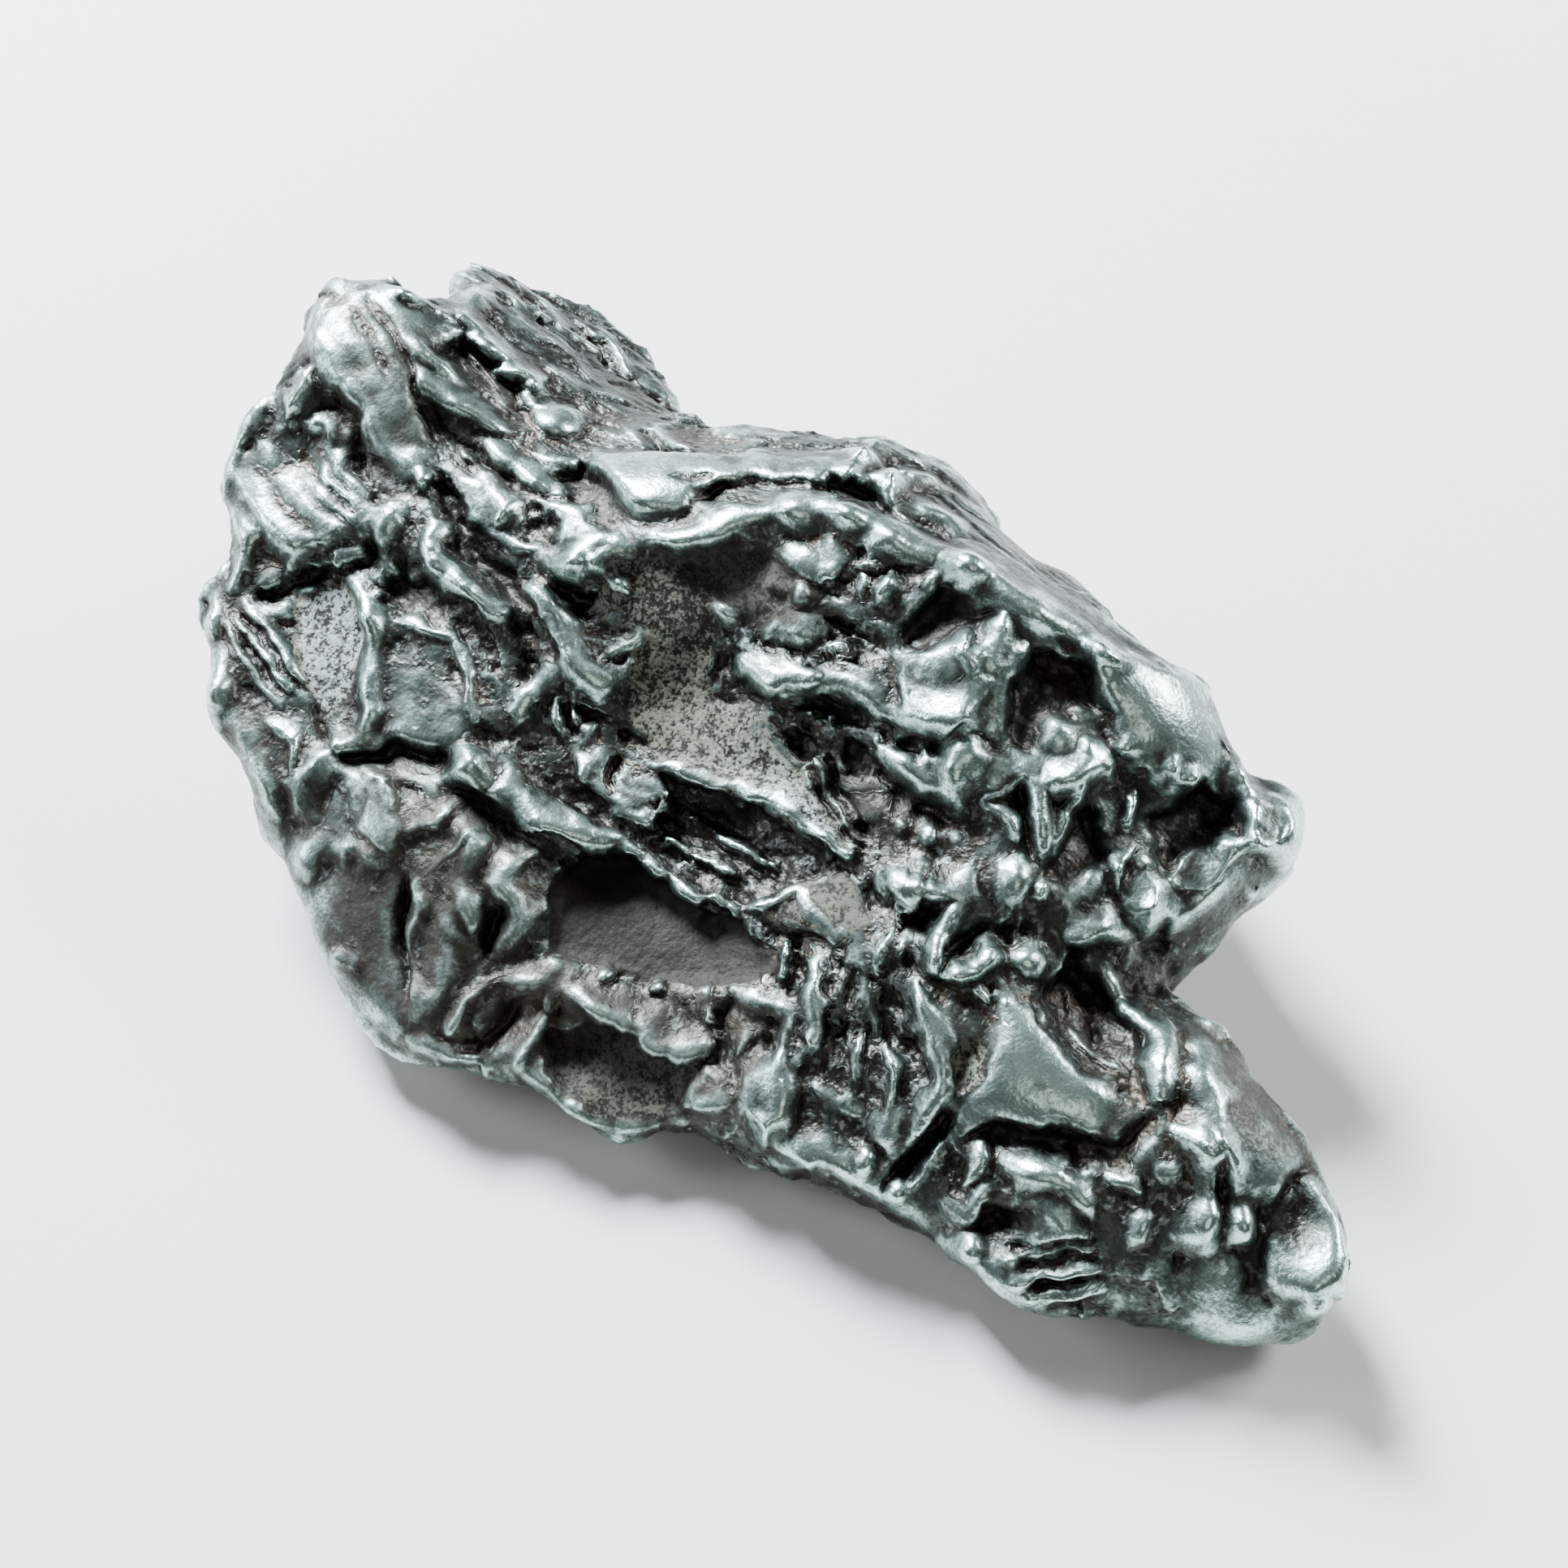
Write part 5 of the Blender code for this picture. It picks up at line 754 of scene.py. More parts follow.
def wave(points, length, shift):
    """Smooth noise between -1 and 1 with the given wavelength."""
    at = points / length + shift
    cell = np.floor(at).astype(int)
    part = at - cell
    fade = part ** 3 * (part * (part * 6 - 15) + 10)
    total = np.zeros(len(at))
    for corner in product((0, 1), repeat=3):
        x, y, z = ((cell + corner) % LATTICE).T
        turn = ORDER[(ORDER[(ORDER[x] + y) % LATTICE] + z) % LATTICE]
        rise = np.einsum("ij,ij->i", SLOPES[turn], part - corner)
        total += rise * np.prod(np.where(corner, fade, 1 - fade), axis=1)
    return WAVE_HEIGHT * total


def vertices_of(body):
    co = np.empty(len(body.data.vertices) * 3, np.float32)
    body.data.vertices.foreach_get("co", co)
    return co.reshape(-1, 3).astype(float)


def move_vertices(body, co):
    body.data.vertices.foreach_set("co", co.astype(np.float32).ravel())
    body.data.update()


def normals_of(body):
    found = np.empty(len(body.data.vertices) * 3, np.float32)
    body.data.vertices.foreach_get("normal", found)
    return found.reshape(-1, 3).astype(float)


def select_only(body):
    """Makes the body the one thing that an operator acts on."""
    bpy.ops.object.select_all(action="DESELECT")
    bpy.context.view_layer.objects.active = body
    body.select_set(True)


def apply_modifiers(body):
    """Works the body's modifiers into its mesh, in order."""
    select_only(body)
    for modifier in list(body.modifiers):
        bpy.ops.object.modifier_apply(modifier=modifier.name)


def remesh(body, grid):
    """Rebuilds the skin as even squares."""
    modifier = body.modifiers.new("even skin", "REMESH")
    modifier.mode = "VOXEL"
    modifier.voxel_size = grid
    apply_modifiers(body)


def bend_to_form(body, rim, crown, keel):
    """Bends the plate's two faces to the crown and the keel, with a rounded rim between them."""
    co = vertices_of(body)
    spots = co[:, :2]
    off, rim_height = line_distance(spots, rim)
    rim_height = rim_height[:, 0]
    top, bottom = crown.height(spots), keel.height(spots)
    radius = np.clip(RIM_ROUND_SHARE * (top - bottom), RIM_ROUND_LEAST, RIM_ROUND_MOST)
    arch = np.sqrt(1 - (1 - np.clip(off / radius, 0, 1)) ** 2)
    share = np.clip(co[:, 2] / SLAB_HALF, -1, 1) * (RIM_WALL + (1 - RIM_WALL) * arch)
    half = np.where(share > 0, top - rim_height, rim_height - bottom)
    co[:, 2] = rim_height + share * half
    move_vertices(body, co)


def traced_spots(co, crown):
    """Where each point shows on the crown, looking back along FACE_WAY."""
    travel = np.zeros(len(co))
    for _ in range(TRACE_STEPS):
        spots = co[:, :2] + travel[:, None] * FACE_WAY[:2]
        gap = crown.height(spots) - (co[:, 2] + travel * FACE_WAY[2])
        travel = np.clip(travel + gap / FACE_WAY[2] * TRACE_SHARE, -TRACE_REACH, TRACE_REACH)
    return co[:, :2] + travel[:, None] * FACE_WAY[:2]


def facet_shares(spots, ragged, corners, edge):
    """The spots near a facet, and how far each is inside it, from 0 to 1."""
    loop = np.array(corners + corners[:1], float)
    pick = close_to(spots, loop, edge + RAGGED)
    near = spots[pick]
    off, _ = line_distance(near, loop)
    signed = np.where(inside(near, loop[:-1]), off, -off) + ragged[pick]
    return pick, ease(signed, -edge * EDGE_SPREAD, edge * EDGE_SPREAD)


def facet_lift(spots, ragged):
    """Steps of the facets; a sunk one is deepest under the ledge above it."""
    lift = np.zeros(len(spots))
    for step, lean, edge, corners in FACETS.values():
        pick, share = facet_shares(spots, ragged, corners, edge)
        depth = step + lean * (spots[pick] - np.mean(corners, 0)) @ FLAKE_WAY
        lift[pick] += share * (np.minimum(depth, 0) if step < 0 else np.maximum(depth, 0))
    return lift


def ridge_shares(spots, lines, wider, gentle=1):
    """How near each spot is to the top of a ridge, from 0 to 1, and that ridge's height.

    The ends taper. The side that rises from under the next ledge is gentler than the side that falls away,
    and a groove, with gentle at -1, has its steep side under the ledge.
    """
    share, lift = np.zeros(len(spots)), np.zeros(len(spots))
    for height, half_width, points in lines:
        steps = np.linalg.norm(np.diff(points, axis=0), axis=1)
        station = np.append(0, np.cumsum(steps)) / steps.sum()
        line = np.column_stack([points, station, points])
        pick = close_to(spots, line, half_width * wider * GENTLE_SIDE)
        off, along = line_distance(spots[pick], line)
        side = gentle * (along[:, 1:] - spots[pick]) @ FLAKE_WAY / (off + TINY)
        taper = ease(np.minimum(along[:, 0], 1 - along[:, 0]), -TAPER, TAPER)
        reach = half_width * wider * taper * (1 + (GENTLE_SIDE - 1) * ease(side, SIDE_FROM, SIDE_TO))
        tent = np.clip(1 - np.sqrt((off / reach) ** 2 + CREST_ROUND), 0, 1)
        share[pick] = np.maximum(share[pick], tent)
        lift[pick] = np.maximum(lift[pick], height * taper * tent)
    return share, lift


def uneven(co):
    """Heights along a ridge vary by this share."""
    return 1 + UNEVEN * wave(co, UNEVEN_LENGTH, UNEVEN_SHIFT)


def knob_lift(spots, knobs):
    """Height of the round nubs over the spots."""
    lift = np.zeros(len(spots))
    for x, y, radius, height in knobs:
        off = np.linalg.norm(spots - (x, y), axis=1)
        lift = np.maximum(lift, height * np.clip(1 - (off / radius) ** 2, 0, 1))
    return lift


def crumb(co, way):
    """Noise drawn out one way: near 1 along worm-like crests, and below 0 between them."""
    pulled = co - (1 - 1 / CRUMB_STRETCH) * (co @ way)[:, None] * way
    return sum(size * (1 - CRUMB_SHARP * np.abs(wave(pulled, length, SEED_FAR * length)))
               for length, size in CRUMB_WAVES)


def flakes(spots, way, size):
    """Broken flakes, each tilted its own way, with heights about -1 to 1."""
    pulled = (spots - (1 - 1 / FLAKE_STRETCH) * (spots @ way)[:, None] * way) / size
    cell = np.floor(pulled).astype(int)
    best, height = np.full(len(spots), np.inf), np.zeros(len(spots))
    for step in product((-1, 0, 1), repeat=2):
        x, y = ((cell + step) % LATTICE).T
        pick = ORDER[(ORDER[x] + y) % LATTICE]
        away = pulled - (cell + step + 0.5 + FLAKE_SHIFT * SLOPES[pick, :2])
        off = (away ** 2).sum(1)
        near = off < best
        best[near] = off[near]
        tilt = SLOPES[pick - TILT_DRAW, :2] + FLAKE_TILT * FLAKE_WAY
        height[near] = (FLAKE_STEP * SLOPES[pick, 2] + FLAKE_LEAN * (away * tilt).sum(1))[near]
    return height


def broken(spots, east):
    """The flakes of every size together."""
    total = np.zeros(len(spots))
    for size, height in FLAKES:
        total += height * (1 - east) * flakes(spots, WEST_FLOW[:2], size)
        total += height * east * flakes(spots + EAST_SHIFT, EAST_FLOW[:2], size)
    return total


def wobbled(spots, co):
    """The spots, pushed about a little, so that drawn lines and corners come out irregular."""
    for length, size in WOBBLES:
        spots = spots + size * np.stack([wave(co, length, shift) for shift in WOBBLE_SHIFTS], 1)
    return spots


def faces_up(out):
    """1 where the skin looks along FACE_WAY, 0 where it looks away."""
    return ease(out @ FACE_WAY, FACE_FROM, FACE_TO)


def carve_broad(body, crown):
    """Works the facets, main ridges and knobs into the crown, and rough lumps into the hidden faces."""
    co, out = vertices_of(body), normals_of(body)
    facing = faces_up(out)
    spots = wobbled(traced_spots(co, crown), co)
    ragged = RAGGED * sum(wave(co, length, shift) for length, shift in RAGGED_WAVES)
    lift = facet_lift(spots, ragged) + uneven(co) * ridge_shares(spots, RIDGES.values(), RIDGE_WIDER)[1]
    lift += knob_lift(spots, KNOBS.values()) - ridge_shares(spots, GROOVES.values(), RIDGE_WIDER, -1)[1]
    co += (facing * lift)[:, None] * FACE_WAY
    for length, size in ROUGH_WAVES:
        co += out * (size * wave(co, length, SEED_FAR))[:, None]
    for length, size in HIDDEN_WAVES:
        lumps = LUMP_MEAN - LUMP_SWING * np.abs(wave(co, length, -SEED_FAR))
        co += out * ((1 - facing) * size * lumps)[:, None]
    move_vertices(body, co)


def east_share(spots):
    """0 at the lobes and 1 at the tail."""
    return ease(spots @ EAST_WAY, EAST_FROM, EAST_TO)


def wear_of(spots, ridges, grooves):
    """How worn each spot is, how speckled, how pale and how stained; both the paleness and the stain are
    partly painted shade.

    The wear is above 0 for smooth metal and below 0 for broken crumb.
    """
    wear = Sheet(WEAR).height(spots) + RIDGE_WEAR * ridges + GROOVE_WEAR * grooves
    speckle, tone_and_shade, stain_and_shade, flat = (np.zeros(len(spots)) for _ in range(4))
    for name, (step, _, edge, corners) in FACETS.items():
        pick, share = facet_shares(spots, flat, corners, edge)
        wear[pick] += share * (RAISED_WEAR if step > 0 else SUNK_WEAR)
        if name in SPECKLED:
            pale, more = SPECKLED[name]
            speckle[pick] = np.maximum(speckle[pick], share)
            # The floor's paleness: its own tone, with painted shade that is darkest near the ledge above
            tone_and_shade[pick] += share * (pale + more * (spots[pick] - np.mean(corners, 0)) @ LEDGE_SHADE_WAY)
    for worn, corners in WORN.values():
        pick, share = facet_shares(spots, flat, corners, WORN_EDGE)
        wear[pick] += worn * share
    for dark, corners in STAINED_AND_SHADED.values():
        pick, share = facet_shares(spots, flat, corners, STAIN_AND_SHADE_EDGE)
        stain_and_shade[pick] = np.maximum(stain_and_shade[pick], dark * share)
    return wear, speckle, tone_and_shade, stain_and_shade


def grind(co, off, radius, depth, way):
    """Wears a high spot down to a low dome that looks the given way."""
    way = way / np.linalg.norm(way)
    pick = np.flatnonzero(off < radius)
    off, core = off[pick], radius / 2
    rise = co[pick] @ way
    top = np.percentile(rise[off < core], FLAT_PERCENTILE) - depth
    over = rise - top + FLAT_DOME * off ** 2 - FLAT_SLOPE * np.maximum(off - core, 0)
    co[pick] -= (FLAT_EDGE * np.logaddexp(0, over / FLAT_EDGE))[:, None] * way


def tilt_flat(co, pick, share, way):
    """Moves a stretch of metal along FACE_WAY towards a flat that looks the given way."""
    way = way / np.linalg.norm(way)
    gap = (co[pick] - np.average(co[pick], axis=0, weights=share + LEAST_WEIGHT)) @ way
    co[pick] -= (share * gap / (FACE_WAY @ way))[:, None] * FACE_WAY


def smooth_swell(co, pick, share):
    """Moves a stretch of metal towards the smooth swell that fits it best, along FACE_WAY."""
    across = np.cross(FACE_WAY, (0, 0, 1))
    middle = np.average(co[pick], axis=0, weights=share + LEAST_WEIGHT)
    u, v = (co[pick] - middle) @ across, (co[pick] - middle) @ np.cross(across, FACE_WAY)
    rise = (co[pick] - middle) @ FACE_WAY
    terms = np.stack([np.ones(len(u)), u, v, u * u, u * v, v * v], 1)
    weight = np.sqrt(share)[:, None]
    fit = np.linalg.lstsq(terms * weight, rise * weight[:, 0], rcond=None)[0]
    co[pick] += (share * (terms @ fit - rise))[:, None] * FACE_WAY


def crumb_depth(spots, wear, base, east, speckle):
    """How far the metal sinks into crumb and flakes, or stands up as a worn plateau."""
    depth = -CRUMB_DEPTH * np.logaddexp(0, -CRUMB_EDGE * wear) / CRUMB_EDGE
    depth += PLATEAU_RISE * (1 - np.exp(-np.maximum(wear, 0)))
    flaked = WORN_FLAKES + (1 - WORN_FLAKES) * ease(-wear, BROKEN_FROM, BROKEN_TO)
    flaked -= (WORN_FLAKES - SMOOTH_FLAKES) * ease(base, SMOOTH_FROM, SMOOTH_TO)
    depth = np.clip(depth, CRUMB_LOWEST, None) + flaked * broken(spots, east)
    return depth * (1 - SPECKLED_LEVEL * speckle)


def level_flats(co, spots, facing):
    """Smooths, tilts and grinds the stretches that are worn to swells and flats."""
    flat = np.zeros(len(spots))
    for left_out, corners in SMOOTHED.values():
        pick, share = facet_shares(spots, flat, corners, SMOOTHED_EDGE)
        smooth_swell(co, pick, left_out * share * facing[pick])
    for gain, edge, way, corners in TILTED.values():
        pick, share = facet_shares(spots, flat, corners, edge)
        tilt_flat(co, pick, gain * share * facing[pick], np.array(way))
    for x, y, radius, depth, way in WORN_FLATS.values():
        grind(co, np.linalg.norm(spots - (x, y), axis=1), radius, depth, np.array(way))


def carve_fine(body, crown):
    """Adds the fine ridges, nubs and grooves, and breaks the metal between them into crumb."""
    co, out = vertices_of(body), normals_of(body)
    facing = faces_up(out)
    spots = wobbled(traced_spots(co, crown), co)
    fine, lift = ridge_shares(spots, FINE_LINES, LINE_WIDER)
    cut, drop = ridge_shares(spots, FINE_GROOVES, LINE_WIDER, -1)
    nubs = knob_lift(spots, NUBS)
    lift = LINE_HIGHER * uneven(co) * lift + nubs - drop
    broad, _ = ridge_shares(spots, RIDGES.values(), RIDGE_WIDER)
    grooves = np.maximum(cut, ridge_shares(spots, GROOVES.values(), RIDGE_WIDER, -1)[0])
    knobs = nubs + knob_lift(spots, KNOBS.values())
    ridges = np.maximum(np.maximum(fine, broad), np.clip(knobs, 0, 1))
    base, speckle, tone_and_shade, stain_and_shade = wear_of(spots, ridges, grooves)
    east = east_share(spots)
    wear = base + (1 - east) * crumb(co, WEST_FLOW) + east * crumb(co, EAST_FLOW) + STAIN_AND_SHADE_WEAR * stain_and_shade
    depth = crumb_depth(spots, wear, base, east, speckle)
    co += (facing * lift)[:, None] * FACE_WAY + (facing * depth)[:, None] * out
    level_flats(co, spots, facing)
    move_vertices(body, co)
    store(body, "wear", np.clip(wear, -WEAR_MOST, WEAR_MOST) * facing + HIDDEN_WEAR * (1 - facing))
    store(body, "speckle", speckle * facing)
    store(body, "tone_and_shade", tone_and_shade)
    store(body, "stain_and_shade", stain_and_shade * facing)


def slab(rim):
    """A flat plate with the lump's outline."""
    outline = bpy.data.curves.new("outline", "CURVE")
    outline.dimensions = "2D"
    outline.fill_mode = "BOTH"
    outline.extrude = SLAB_HALF
    loop = outline.splines.new("POLY")
    loop.points.add(len(rim) - 1)
    for point, (x, y, _) in zip(loop.points, rim):
        point.co = (x, y, 0, 1)
    loop.use_cyclic_u = True
    body = bpy.data.objects.new(PIECE, outline)
    bpy.context.scene.collection.objects.link(body)
    select_only(body)
    bpy.ops.object.convert(target="MESH")
    return bpy.context.view_layer.objects.active


def thin_out(body):
    """Drops the vertices that the smoother stretches don't need."""
    body.data.calc_loop_triangles()
    modifier = body.modifiers.new("fewer triangles", "DECIMATE")
    modifier.ratio = min(1.0, TRIANGLES / len(body.data.loop_triangles))
    modifier.use_collapse_triangulate = True
    apply_modifiers(body)


def drop_specks(body):
    """Keeps the skin that the highest vertex is on, and drops the specks that remeshing leaves loose."""
    bpy.ops.object.mode_set(mode="EDIT")
    bpy.ops.mesh.select_mode(type="VERT")
    bpy.ops.mesh.select_all(action="DESELECT")
    bpy.ops.object.mode_set(mode="OBJECT")
    body.data.vertices[int(vertices_of(body)[:, 2].argmax())].select = True
    bpy.ops.object.mode_set(mode="EDIT")
    bpy.ops.mesh.select_linked()
    bpy.ops.mesh.select_all(action="INVERT")
    bpy.ops.mesh.delete(type="VERT")
    bpy.ops.object.mode_set(mode="OBJECT")


def wear_foot_flat(body):
    """Presses up to the resting surface what reaches below it."""
    co = vertices_of(body)
    co[:, 2] = np.maximum(co[:, 2], 0)
    move_vertices(body, co)


def to_metres(body):
    """Moves the lump over the origin and gives it its real size."""
    co = vertices_of(body)
    co[:, 0] -= DRAWING_CENTRE[0]
    co[:, 1] -= DRAWING_CENTRE[1]
    move_vertices(body, co)
    body.scale = (METRES_PER_MM,) * 3
    bpy.ops.object.transform_apply(location=False, rotation=False, scale=True)


def edge_ends(body):
    """The numbers of the two vertices at the ends of each edge."""
    ends = np.empty(len(body.data.edges) * 2, np.int32)
    body.data.edges.foreach_get("vertices", ends)
    return ends.reshape(-1, 2)


def softened(co, ends, passes):
    """The vertices after each has moved to the middle of its neighbours, pass after pass."""
    starts = np.concatenate([ends[:, 0], ends[:, 1]])
    stops = np.concatenate([ends[:, 1], ends[:, 0]])
    count = np.bincount(starts, minlength=len(co))[:, None]
    for _ in range(passes):
        total = [np.bincount(starts, weights=co[stops, i], minlength=len(co)) for i in range(3)]
        co = (co + np.stack(total, 1) / count) / 2
    return co


def round_off(body):
    """Softens the worn metal, and leaves the crumb sharp."""
    co, wear = vertices_of(body), np.empty(len(body.data.vertices), np.float32)
    body.data.attributes["wear"].data.foreach_get("value", wear)
    share = ease(wear, SOFT_FROM, SOFT_TO)[:, None]
    move_vertices(body, co + share * (softened(co, edge_ends(body), SOFT_PASSES_WORN) - co))


def note_wear(body, crown):
    """Stores how far each vertex stands proud of the metal near it, further off, and of the crown."""
    co, out = vertices_of(body), normals_of(body)
    ends = edge_ends(body)
    near = softened(co, ends, SOFT_PASSES_FINE)
    far = softened(near, ends, SOFT_PASSES_BROAD)
    store(body, "proud_fine", np.einsum("ij,ij->i", co - near, out))
    store(body, "proud_broad", np.einsum("ij,ij->i", co - far, out))
    store(body, "proud_crown", np.maximum(co[:, 2] - crown.height(co[:, :2]), MOST_SUNK))


def store(body, name, values):
    """Keeps a number for each vertex, for the material to read."""
    layer = body.data.attributes.new(name, "FLOAT", "POINT")
    layer.data.foreach_set("value", values.astype(np.float32))


def make_skin():
    """The whole lump: a plate bent to its form, then carved broadly, carved finely and softened."""
    rim = closed_curve(RIM, RIM_STEPS)
    crown, keel = Sheet(CROWN), Sheet(KEEL)
    body = slab(rim)
    remesh(body, SLAB_GRID)
    bend_to_form(body, np.vstack([rim, rim[:1]]), crown, keel)
    remesh(body, BODY_GRID)
    carve_broad(body, crown)
    remesh(body, SKIN_GRID)
    carve_fine(body, crown)
    round_off(body)
    thin_out(body)
    drop_specks(body)
    wear_foot_flat(body)
    note_wear(body, crown)
    to_metres(body)
    bpy.ops.object.shade_smooth()
    body.name = body.data.name = PIECE
    return body


class Wire:
    """A number that varies over the surface, as a node's output that Python arithmetic works on."""

    def __init__(self, board, socket):
        self.board, self.socket = board, socket

    def _with(self, operation, *values):
        return self.board.add("ShaderNodeMath", {"operation": operation}, values)

    def __add__(self, other):
        return self._with("ADD", self, other)

    def __sub__(self, other):
        return self._with("SUBTRACT", self, other)

    def __rsub__(self, other):
        return self._with("SUBTRACT", other, self)

    def __mul__(self, other):
        return self._with("MULTIPLY", self, other)

    __radd__, __rmul__ = __add__, __mul__

    def eased(self, low, high):
        """0 below low, 1 above high, and a smooth rise between."""
        settings = {"interpolation_type": "SMOOTHSTEP", "clamp": True}
        inputs = {"Value": self, "From Min": low, "From Max": high}
        return self.board.add("ShaderNodeMapRange", settings, inputs)


class Board:
    """The node tree of one material."""

    def __init__(self, name):
        self.material = bpy.data.materials.new(name)
        self.material.use_nodes = True
        self.tree = self.material.node_tree
        self.shader = self.tree.nodes["Principled BSDF"]

    def add(self, kind, settings=None, inputs=(), output=0):
        """A new node, with its settings made first, then the values or links of its sockets."""
        node = self.tree.nodes.new(kind)
        for key, value in (settings or {}).items():
            setattr(node, key, value)
        pairs = inputs.items() if isinstance(inputs, dict) else enumerate(inputs)
        for key, value in pairs:
            self.plug(node.inputs[key], value)
        return Wire(self, node.outputs[output])

    def plug(self, socket, value):
        if isinstance(value, Wire):
            self.tree.links.new(value.socket, socket)
        else:
            socket.default_value = value

    def attribute(self, name):
        """A number that the shape was given for each vertex."""
        return self.add("ShaderNodeAttribute", {"attribute_name": name}, (), "Fac")

    def place(self):
        """Where a point is on the object, in metres."""
        return self.add("ShaderNodeTexCoord", {}, (), "Object")

    def grain(self, scale, detail, roughness=0.6):
        """Noise about 0.5, with scale grains to a metre."""
        inputs = {"Vector": self.place(), "Scale": scale, "Detail": detail, "Roughness": roughness}
        return self.add("ShaderNodeTexNoise", {}, inputs, "Fac")

    def blend(self, share, first, second):
        """The first colour where share is 0, the second where it is 1."""
        return self.add("ShaderNodeMix", {"data_type": "RGBA"}, {0: share, 6: first, 7: second}, 2)


# Colours of the metal's states
BRIGHT, DULL, MOTTLED = (0.54, 0.70, 0.65, 1), (0.051, 0.060, 0.056, 1), (0.047, 0.047, 0.041, 1)
# STAIN_AND_SHADE darkens the stained stretches: partly brown oxide, partly painted shade in hollows and on
# the flanks turned from the window
OXIDE, RUST, STAIN_AND_SHADE, GLINT = (
    (0.030, 0.028, 0.025, 1), (0.050, 0.040, 0.033, 1), (0.040, 0.033, 0.028, 1), (0.135, 0.146, 0.142, 1))
# DIM_DUST, GREY_DUST and PALE_DUST follow the floor's tone, which is partly painted shade
DARK_DUST, DIM_DUST = (0.013, 0.011, 0.010, 1), (0.016, 0.014, 0.012, 1)
GREY_DUST, PALE_DUST = (0.23, 0.235, 0.185, 1), (0.27, 0.305, 0.29, 1)

# Noise of the metal: how many to a metre, and detail
CLOUDS, PATCHES, CRUMBS, DUST = (180, 3), (900, 3), (2100, 1.5), (6000, 2)
BUMP_STRENGTH, BUMP_HEIGHT = 0.9, 0.00013
GLOSS_LEVEL = 0.15


def worn_metal():
    """Bright metal where it stands proud, dark glinting crumb below, and matt speckle on flat floors;
    painted shade darkens the creases, deep hollows, stained stretches and floors near their ledges.
    """
    board = Board("worn nickel iron")
    fine, broad, crown = (board.attribute(name) for name in ("proud_fine", "proud_broad", "proud_crown"))
    wear, speckle, tone_and_shade, stain_and_shade = (board.attribute(name) for name in ("wear", "speckle", "tone_and_shade", "stain_and_shade"))
    cloud, patch, crumbs, dust = (board.grain(*grain) for grain in (CLOUDS, PATCHES, CRUMBS, DUST))
    score = wear * 0.4 + fine * 7 + broad * 2.2 + crown * 0.1 + (patch - 0.5) * 1.8 - stain_and_shade * 0.5
    worn = score.eased(-0.15, 0.5)
    polish = score.eased(0.55, 2.3)
    # 1 in the open and 0 deep in the hollows, where the glints fade into painted shade
    clear_of_hollow_shade = score.eased(-1.6, -0.1)

    # Broken ground: oxide with small glints of bare metal, fading deep in the hollows into painted shade,
    # and fewer on the stained and shaded stretches
    oxide = board.blend(cloud.eased(0.52, 0.68), OXIDE, RUST)
    glint = crumbs.eased(0.52, 0.66) * (clear_of_hollow_shade * 0.75 + 0.25) * (1 - stain_and_shade * 0.6)
    broken = board.blend(glint, oxide, GLINT)

    # Worn metal: brighter the more it is polished, mottled, with oxide left in patches, oxide and painted
    # shade in the creases, and brown stain and painted shade on the stained stretches
    mottle = (crumbs * 0.4 + dust * 0.6).eased(0.47, 0.56) * (0.8 - polish * 0.4)
    metal = board.blend(mottle, board.blend(polish, DULL, BRIGHT), MOTTLED)
    metal = board.blend(patch.eased(0.60, 0.74) * 0.5, metal, oxide)
    # Creases, where the metal lies below its neighbours, darken towards oxide: partly oxide that sits in
    # them, partly painted shade
    metal = board.blend((0 - fine).eased(0.05, 0.2) * 0.6, metal, oxide)
    # The stained stretches darken, polished tops less so: partly brown stain, partly painted shade
    metal = board.blend(stain_and_shade * (0.9 - polish * 0.3), metal, STAIN_AND_SHADE)
    skin = board.blend(worn, broken, metal)

    # Flat floors: matt dust in light and dark specks, darker or paler by a tone that is partly the floor's
    # own and partly painted shade
    grit = (crumbs - 0.5) * 0.7 + (dust - 0.5) * 0.8 + (cloud - 0.5) * 0.4
    pale = board.blend(tone_and_shade.eased(0.7, 0.9), board.blend(tone_and_shade, DIM_DUST, GREY_DUST), PALE_DUST)
    floor = board.blend(grit.eased(-0.10, 0.12), DARK_DUST, pale)
    matt = speckle.eased(0.3, 0.7) * (1 - score.eased(0.7, 1.2))

    board.plug(board.shader.inputs["Base Color"], board.blend(matt, skin, floor))
    rough = 0.40 - polish * 0.14 + mottle * 0.12 + matt * 0.2 + stain_and_shade * 0.1
    board.plug(board.shader.inputs["Roughness"], rough)
    board.plug(board.shader.inputs["Metallic"], 1 - matt * 0.8 - stain_and_shade * 0.15)
    board.shader.inputs["Specular IOR Level"].default_value = GLOSS_LEVEL
    rugged = 1.0 - worn * 0.6
    height = (crumbs * 0.8 + dust * 0.25) * rugged + dust * 0.06
    bump = board.add("ShaderNodeBump", {}, {
        "Strength": BUMP_STRENGTH, "Distance": BUMP_HEIGHT, "Height": height})
    board.plug(board.shader.inputs["Normal"], bump)
    return board.material


# The floor, in metres
FLOOR_SIZE, FLOOR_COLOUR, FLOOR_ROUGHNESS = 3.0, (0.62, 0.61, 0.59, 1), 0.7


def pale_floor():
    bpy.ops.mesh.primitive_plane_add(size=FLOOR_SIZE, location=(0, 0, 0))
    floor = bpy.context.active_object
    floor.name = "floor"
    material = bpy.data.materials.new("pale floor")
    material.use_nodes = True
    shader = material.node_tree.nodes["Principled BSDF"]
    shader.inputs["Base Color"].default_value = FLOOR_COLOUR
    shader.inputs["Roughness"].default_value = FLOOR_ROUGHNESS
    floor.data.materials.append(material)


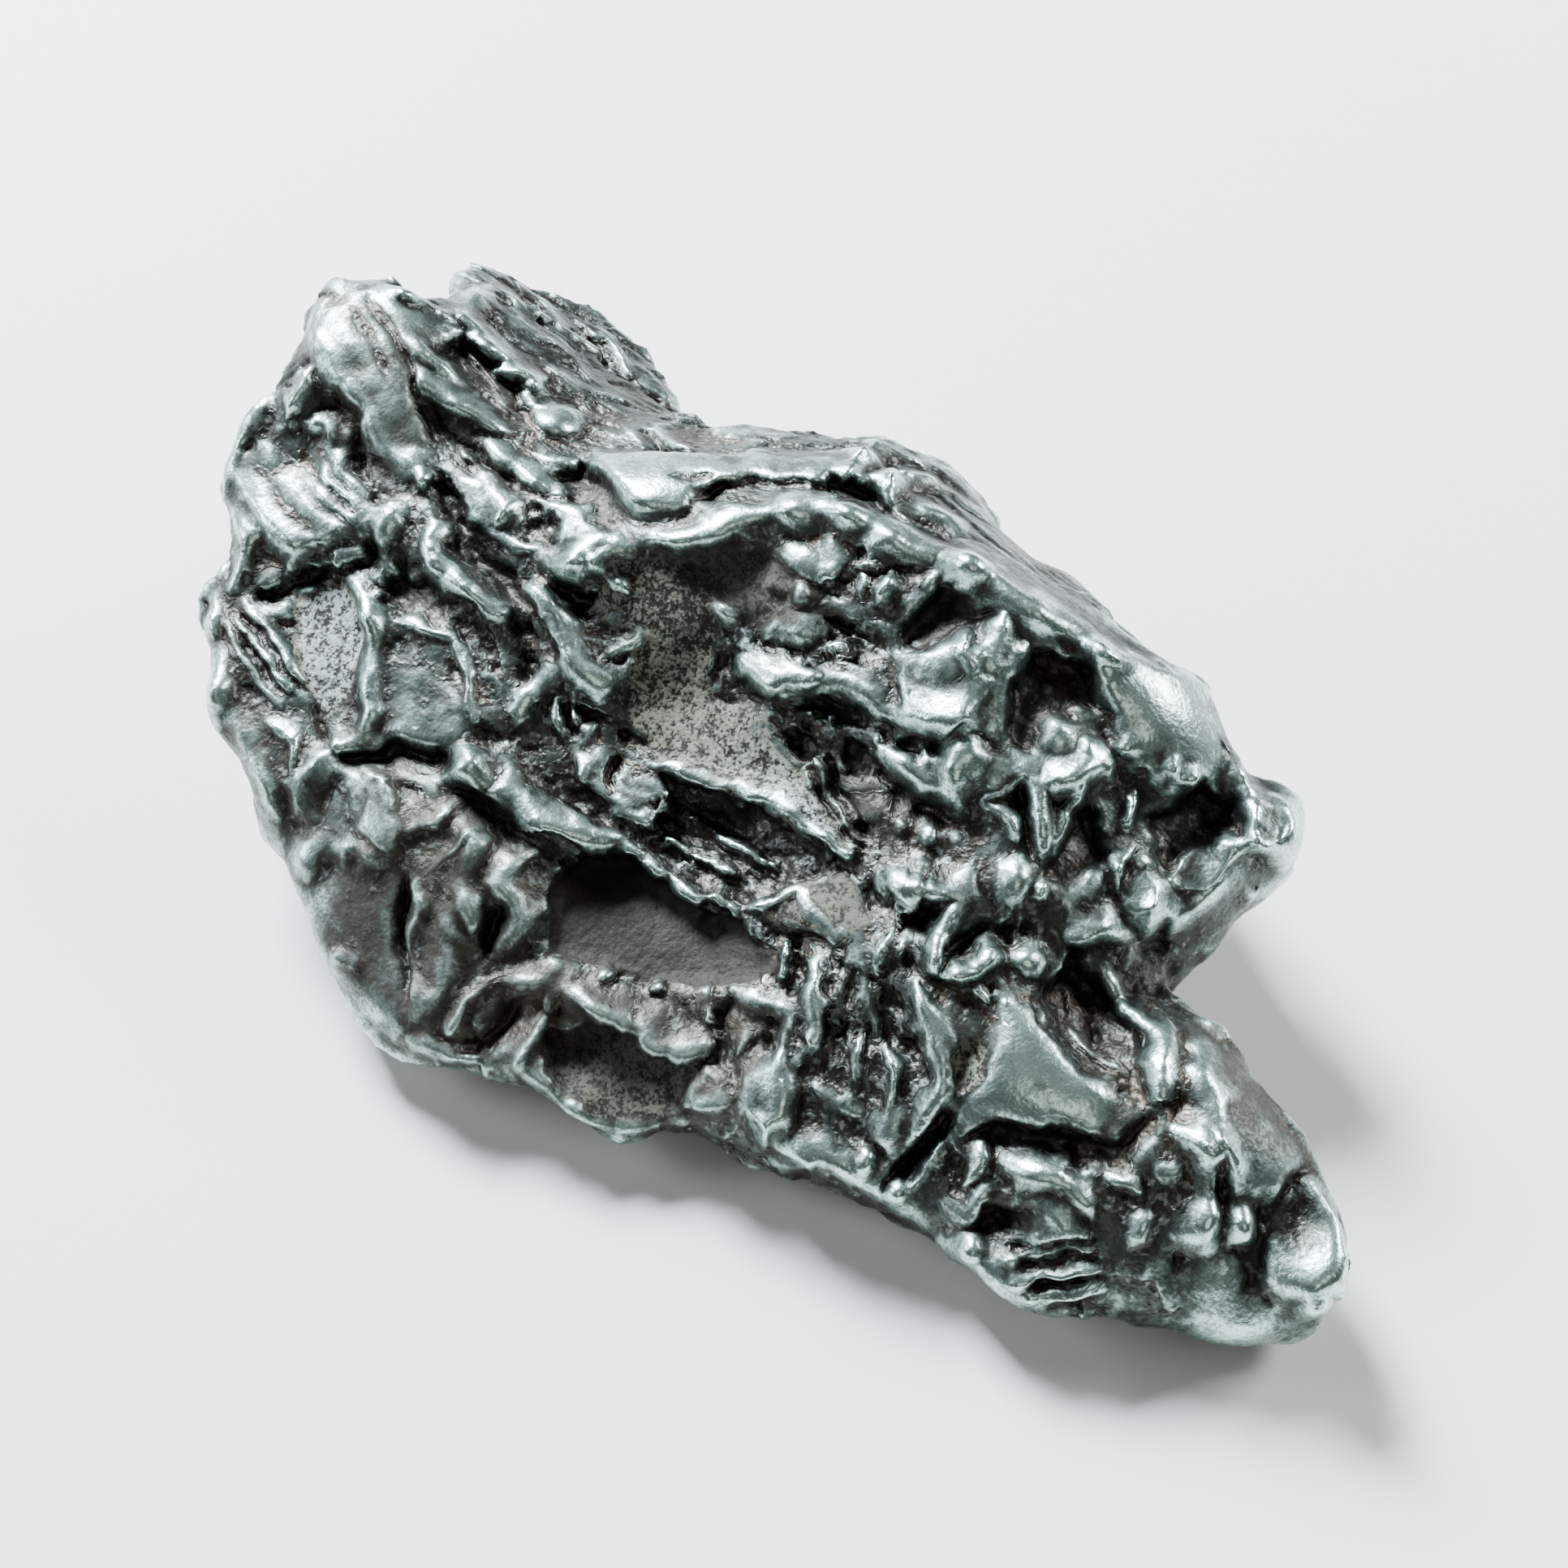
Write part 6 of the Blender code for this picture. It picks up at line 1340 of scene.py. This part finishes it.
# Soft boxes: azimuth, elevation, distance and size in metres, watts and colour
LIGHTS = {
    "window": (-98, 42, 0.9, 0.30, 66.0, (0.84, 0.95, 1.0)),
    "side window": (-48, 26, 0.45, 0.16, 1.2, (0.84, 0.93, 1.0)),
    "far window": (165, 34, 0.45, 0.16, 2.8, (0.92, 0.97, 1.0)),
    "room": (60, 50, 0.6, 0.35, 0.5, (1.0, 0.96, 0.9)),
}
WORLD_COLOUR = (0.050, 0.054, 0.052, 1)


def way_to(azimuth, elevation):
    """The way from the lump towards a light or the camera; azimuth 0 is in front, at -Y, and 90 at +X."""
    turn, rise = math.radians(azimuth), math.radians(elevation)
    return Vector((math.sin(turn) * math.cos(rise), -math.cos(turn) * math.cos(rise), math.sin(rise)))


def soft_light(name, azimuth, elevation, distance, size, watts, colour):
    """A square soft box that looks at the lump."""
    light = bpy.data.lights.new(name, "AREA")
    light.shape = "SQUARE"
    light.size, light.energy, light.color = size, watts, colour
    holder = bpy.data.objects.new(name, light)
    way = way_to(azimuth, elevation)
    holder.location = way * distance
    holder.rotation_euler = way.to_track_quat("Z", "Y").to_euler()
    bpy.context.scene.collection.objects.link(holder)


def studio():
    world = bpy.data.worlds.new("studio")
    world.use_nodes = True
    world.node_tree.nodes["Background"].inputs["Color"].default_value = WORLD_COLOUR
    bpy.context.scene.world = world
    for name, values in LIGHTS.items():
        soft_light(name, *values)


# The camera: lens and sensor in millimetres, place and clip in degrees and metres
CAMERA_LENS, CAMERA_SENSOR = 42.0, 36.0
CAMERA_AZIMUTH, CAMERA_ELEVATION, CAMERA_DISTANCE = 52.0, 52.3, 0.090
CAMERA_TARGET_HEIGHT, CAMERA_CLIP = 0.009, 0.001


def place_camera():
    turn = math.radians(CAMERA_AZIMUTH)
    back = way_to(CAMERA_AZIMUTH, CAMERA_ELEVATION)
    right = Vector((math.cos(turn), math.sin(turn), 0))
    target = Vector((-DRAWING_CENTRE[0], -DRAWING_CENTRE[1], 0)) * METRES_PER_MM
    target.z = CAMERA_TARGET_HEIGHT
    data = bpy.data.cameras.new("camera")
    data.lens, data.sensor_width = CAMERA_LENS, CAMERA_SENSOR
    data.clip_start = CAMERA_CLIP
    camera = bpy.data.objects.new("camera", data)
    turned = Matrix((right, back.cross(right), back)).transposed().to_4x4()
    camera.matrix_world = Matrix.Translation(target + back * CAMERA_DISTANCE) @ turned
    bpy.context.scene.collection.objects.link(camera)
    bpy.context.scene.camera = camera


def main():
    skin = make_skin()
    skin.data.materials.clear()
    skin.data.materials.append(worn_metal())
    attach(skin, "root")
    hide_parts("meteorite")
    pale_floor()
    studio()
    place_camera()


main()
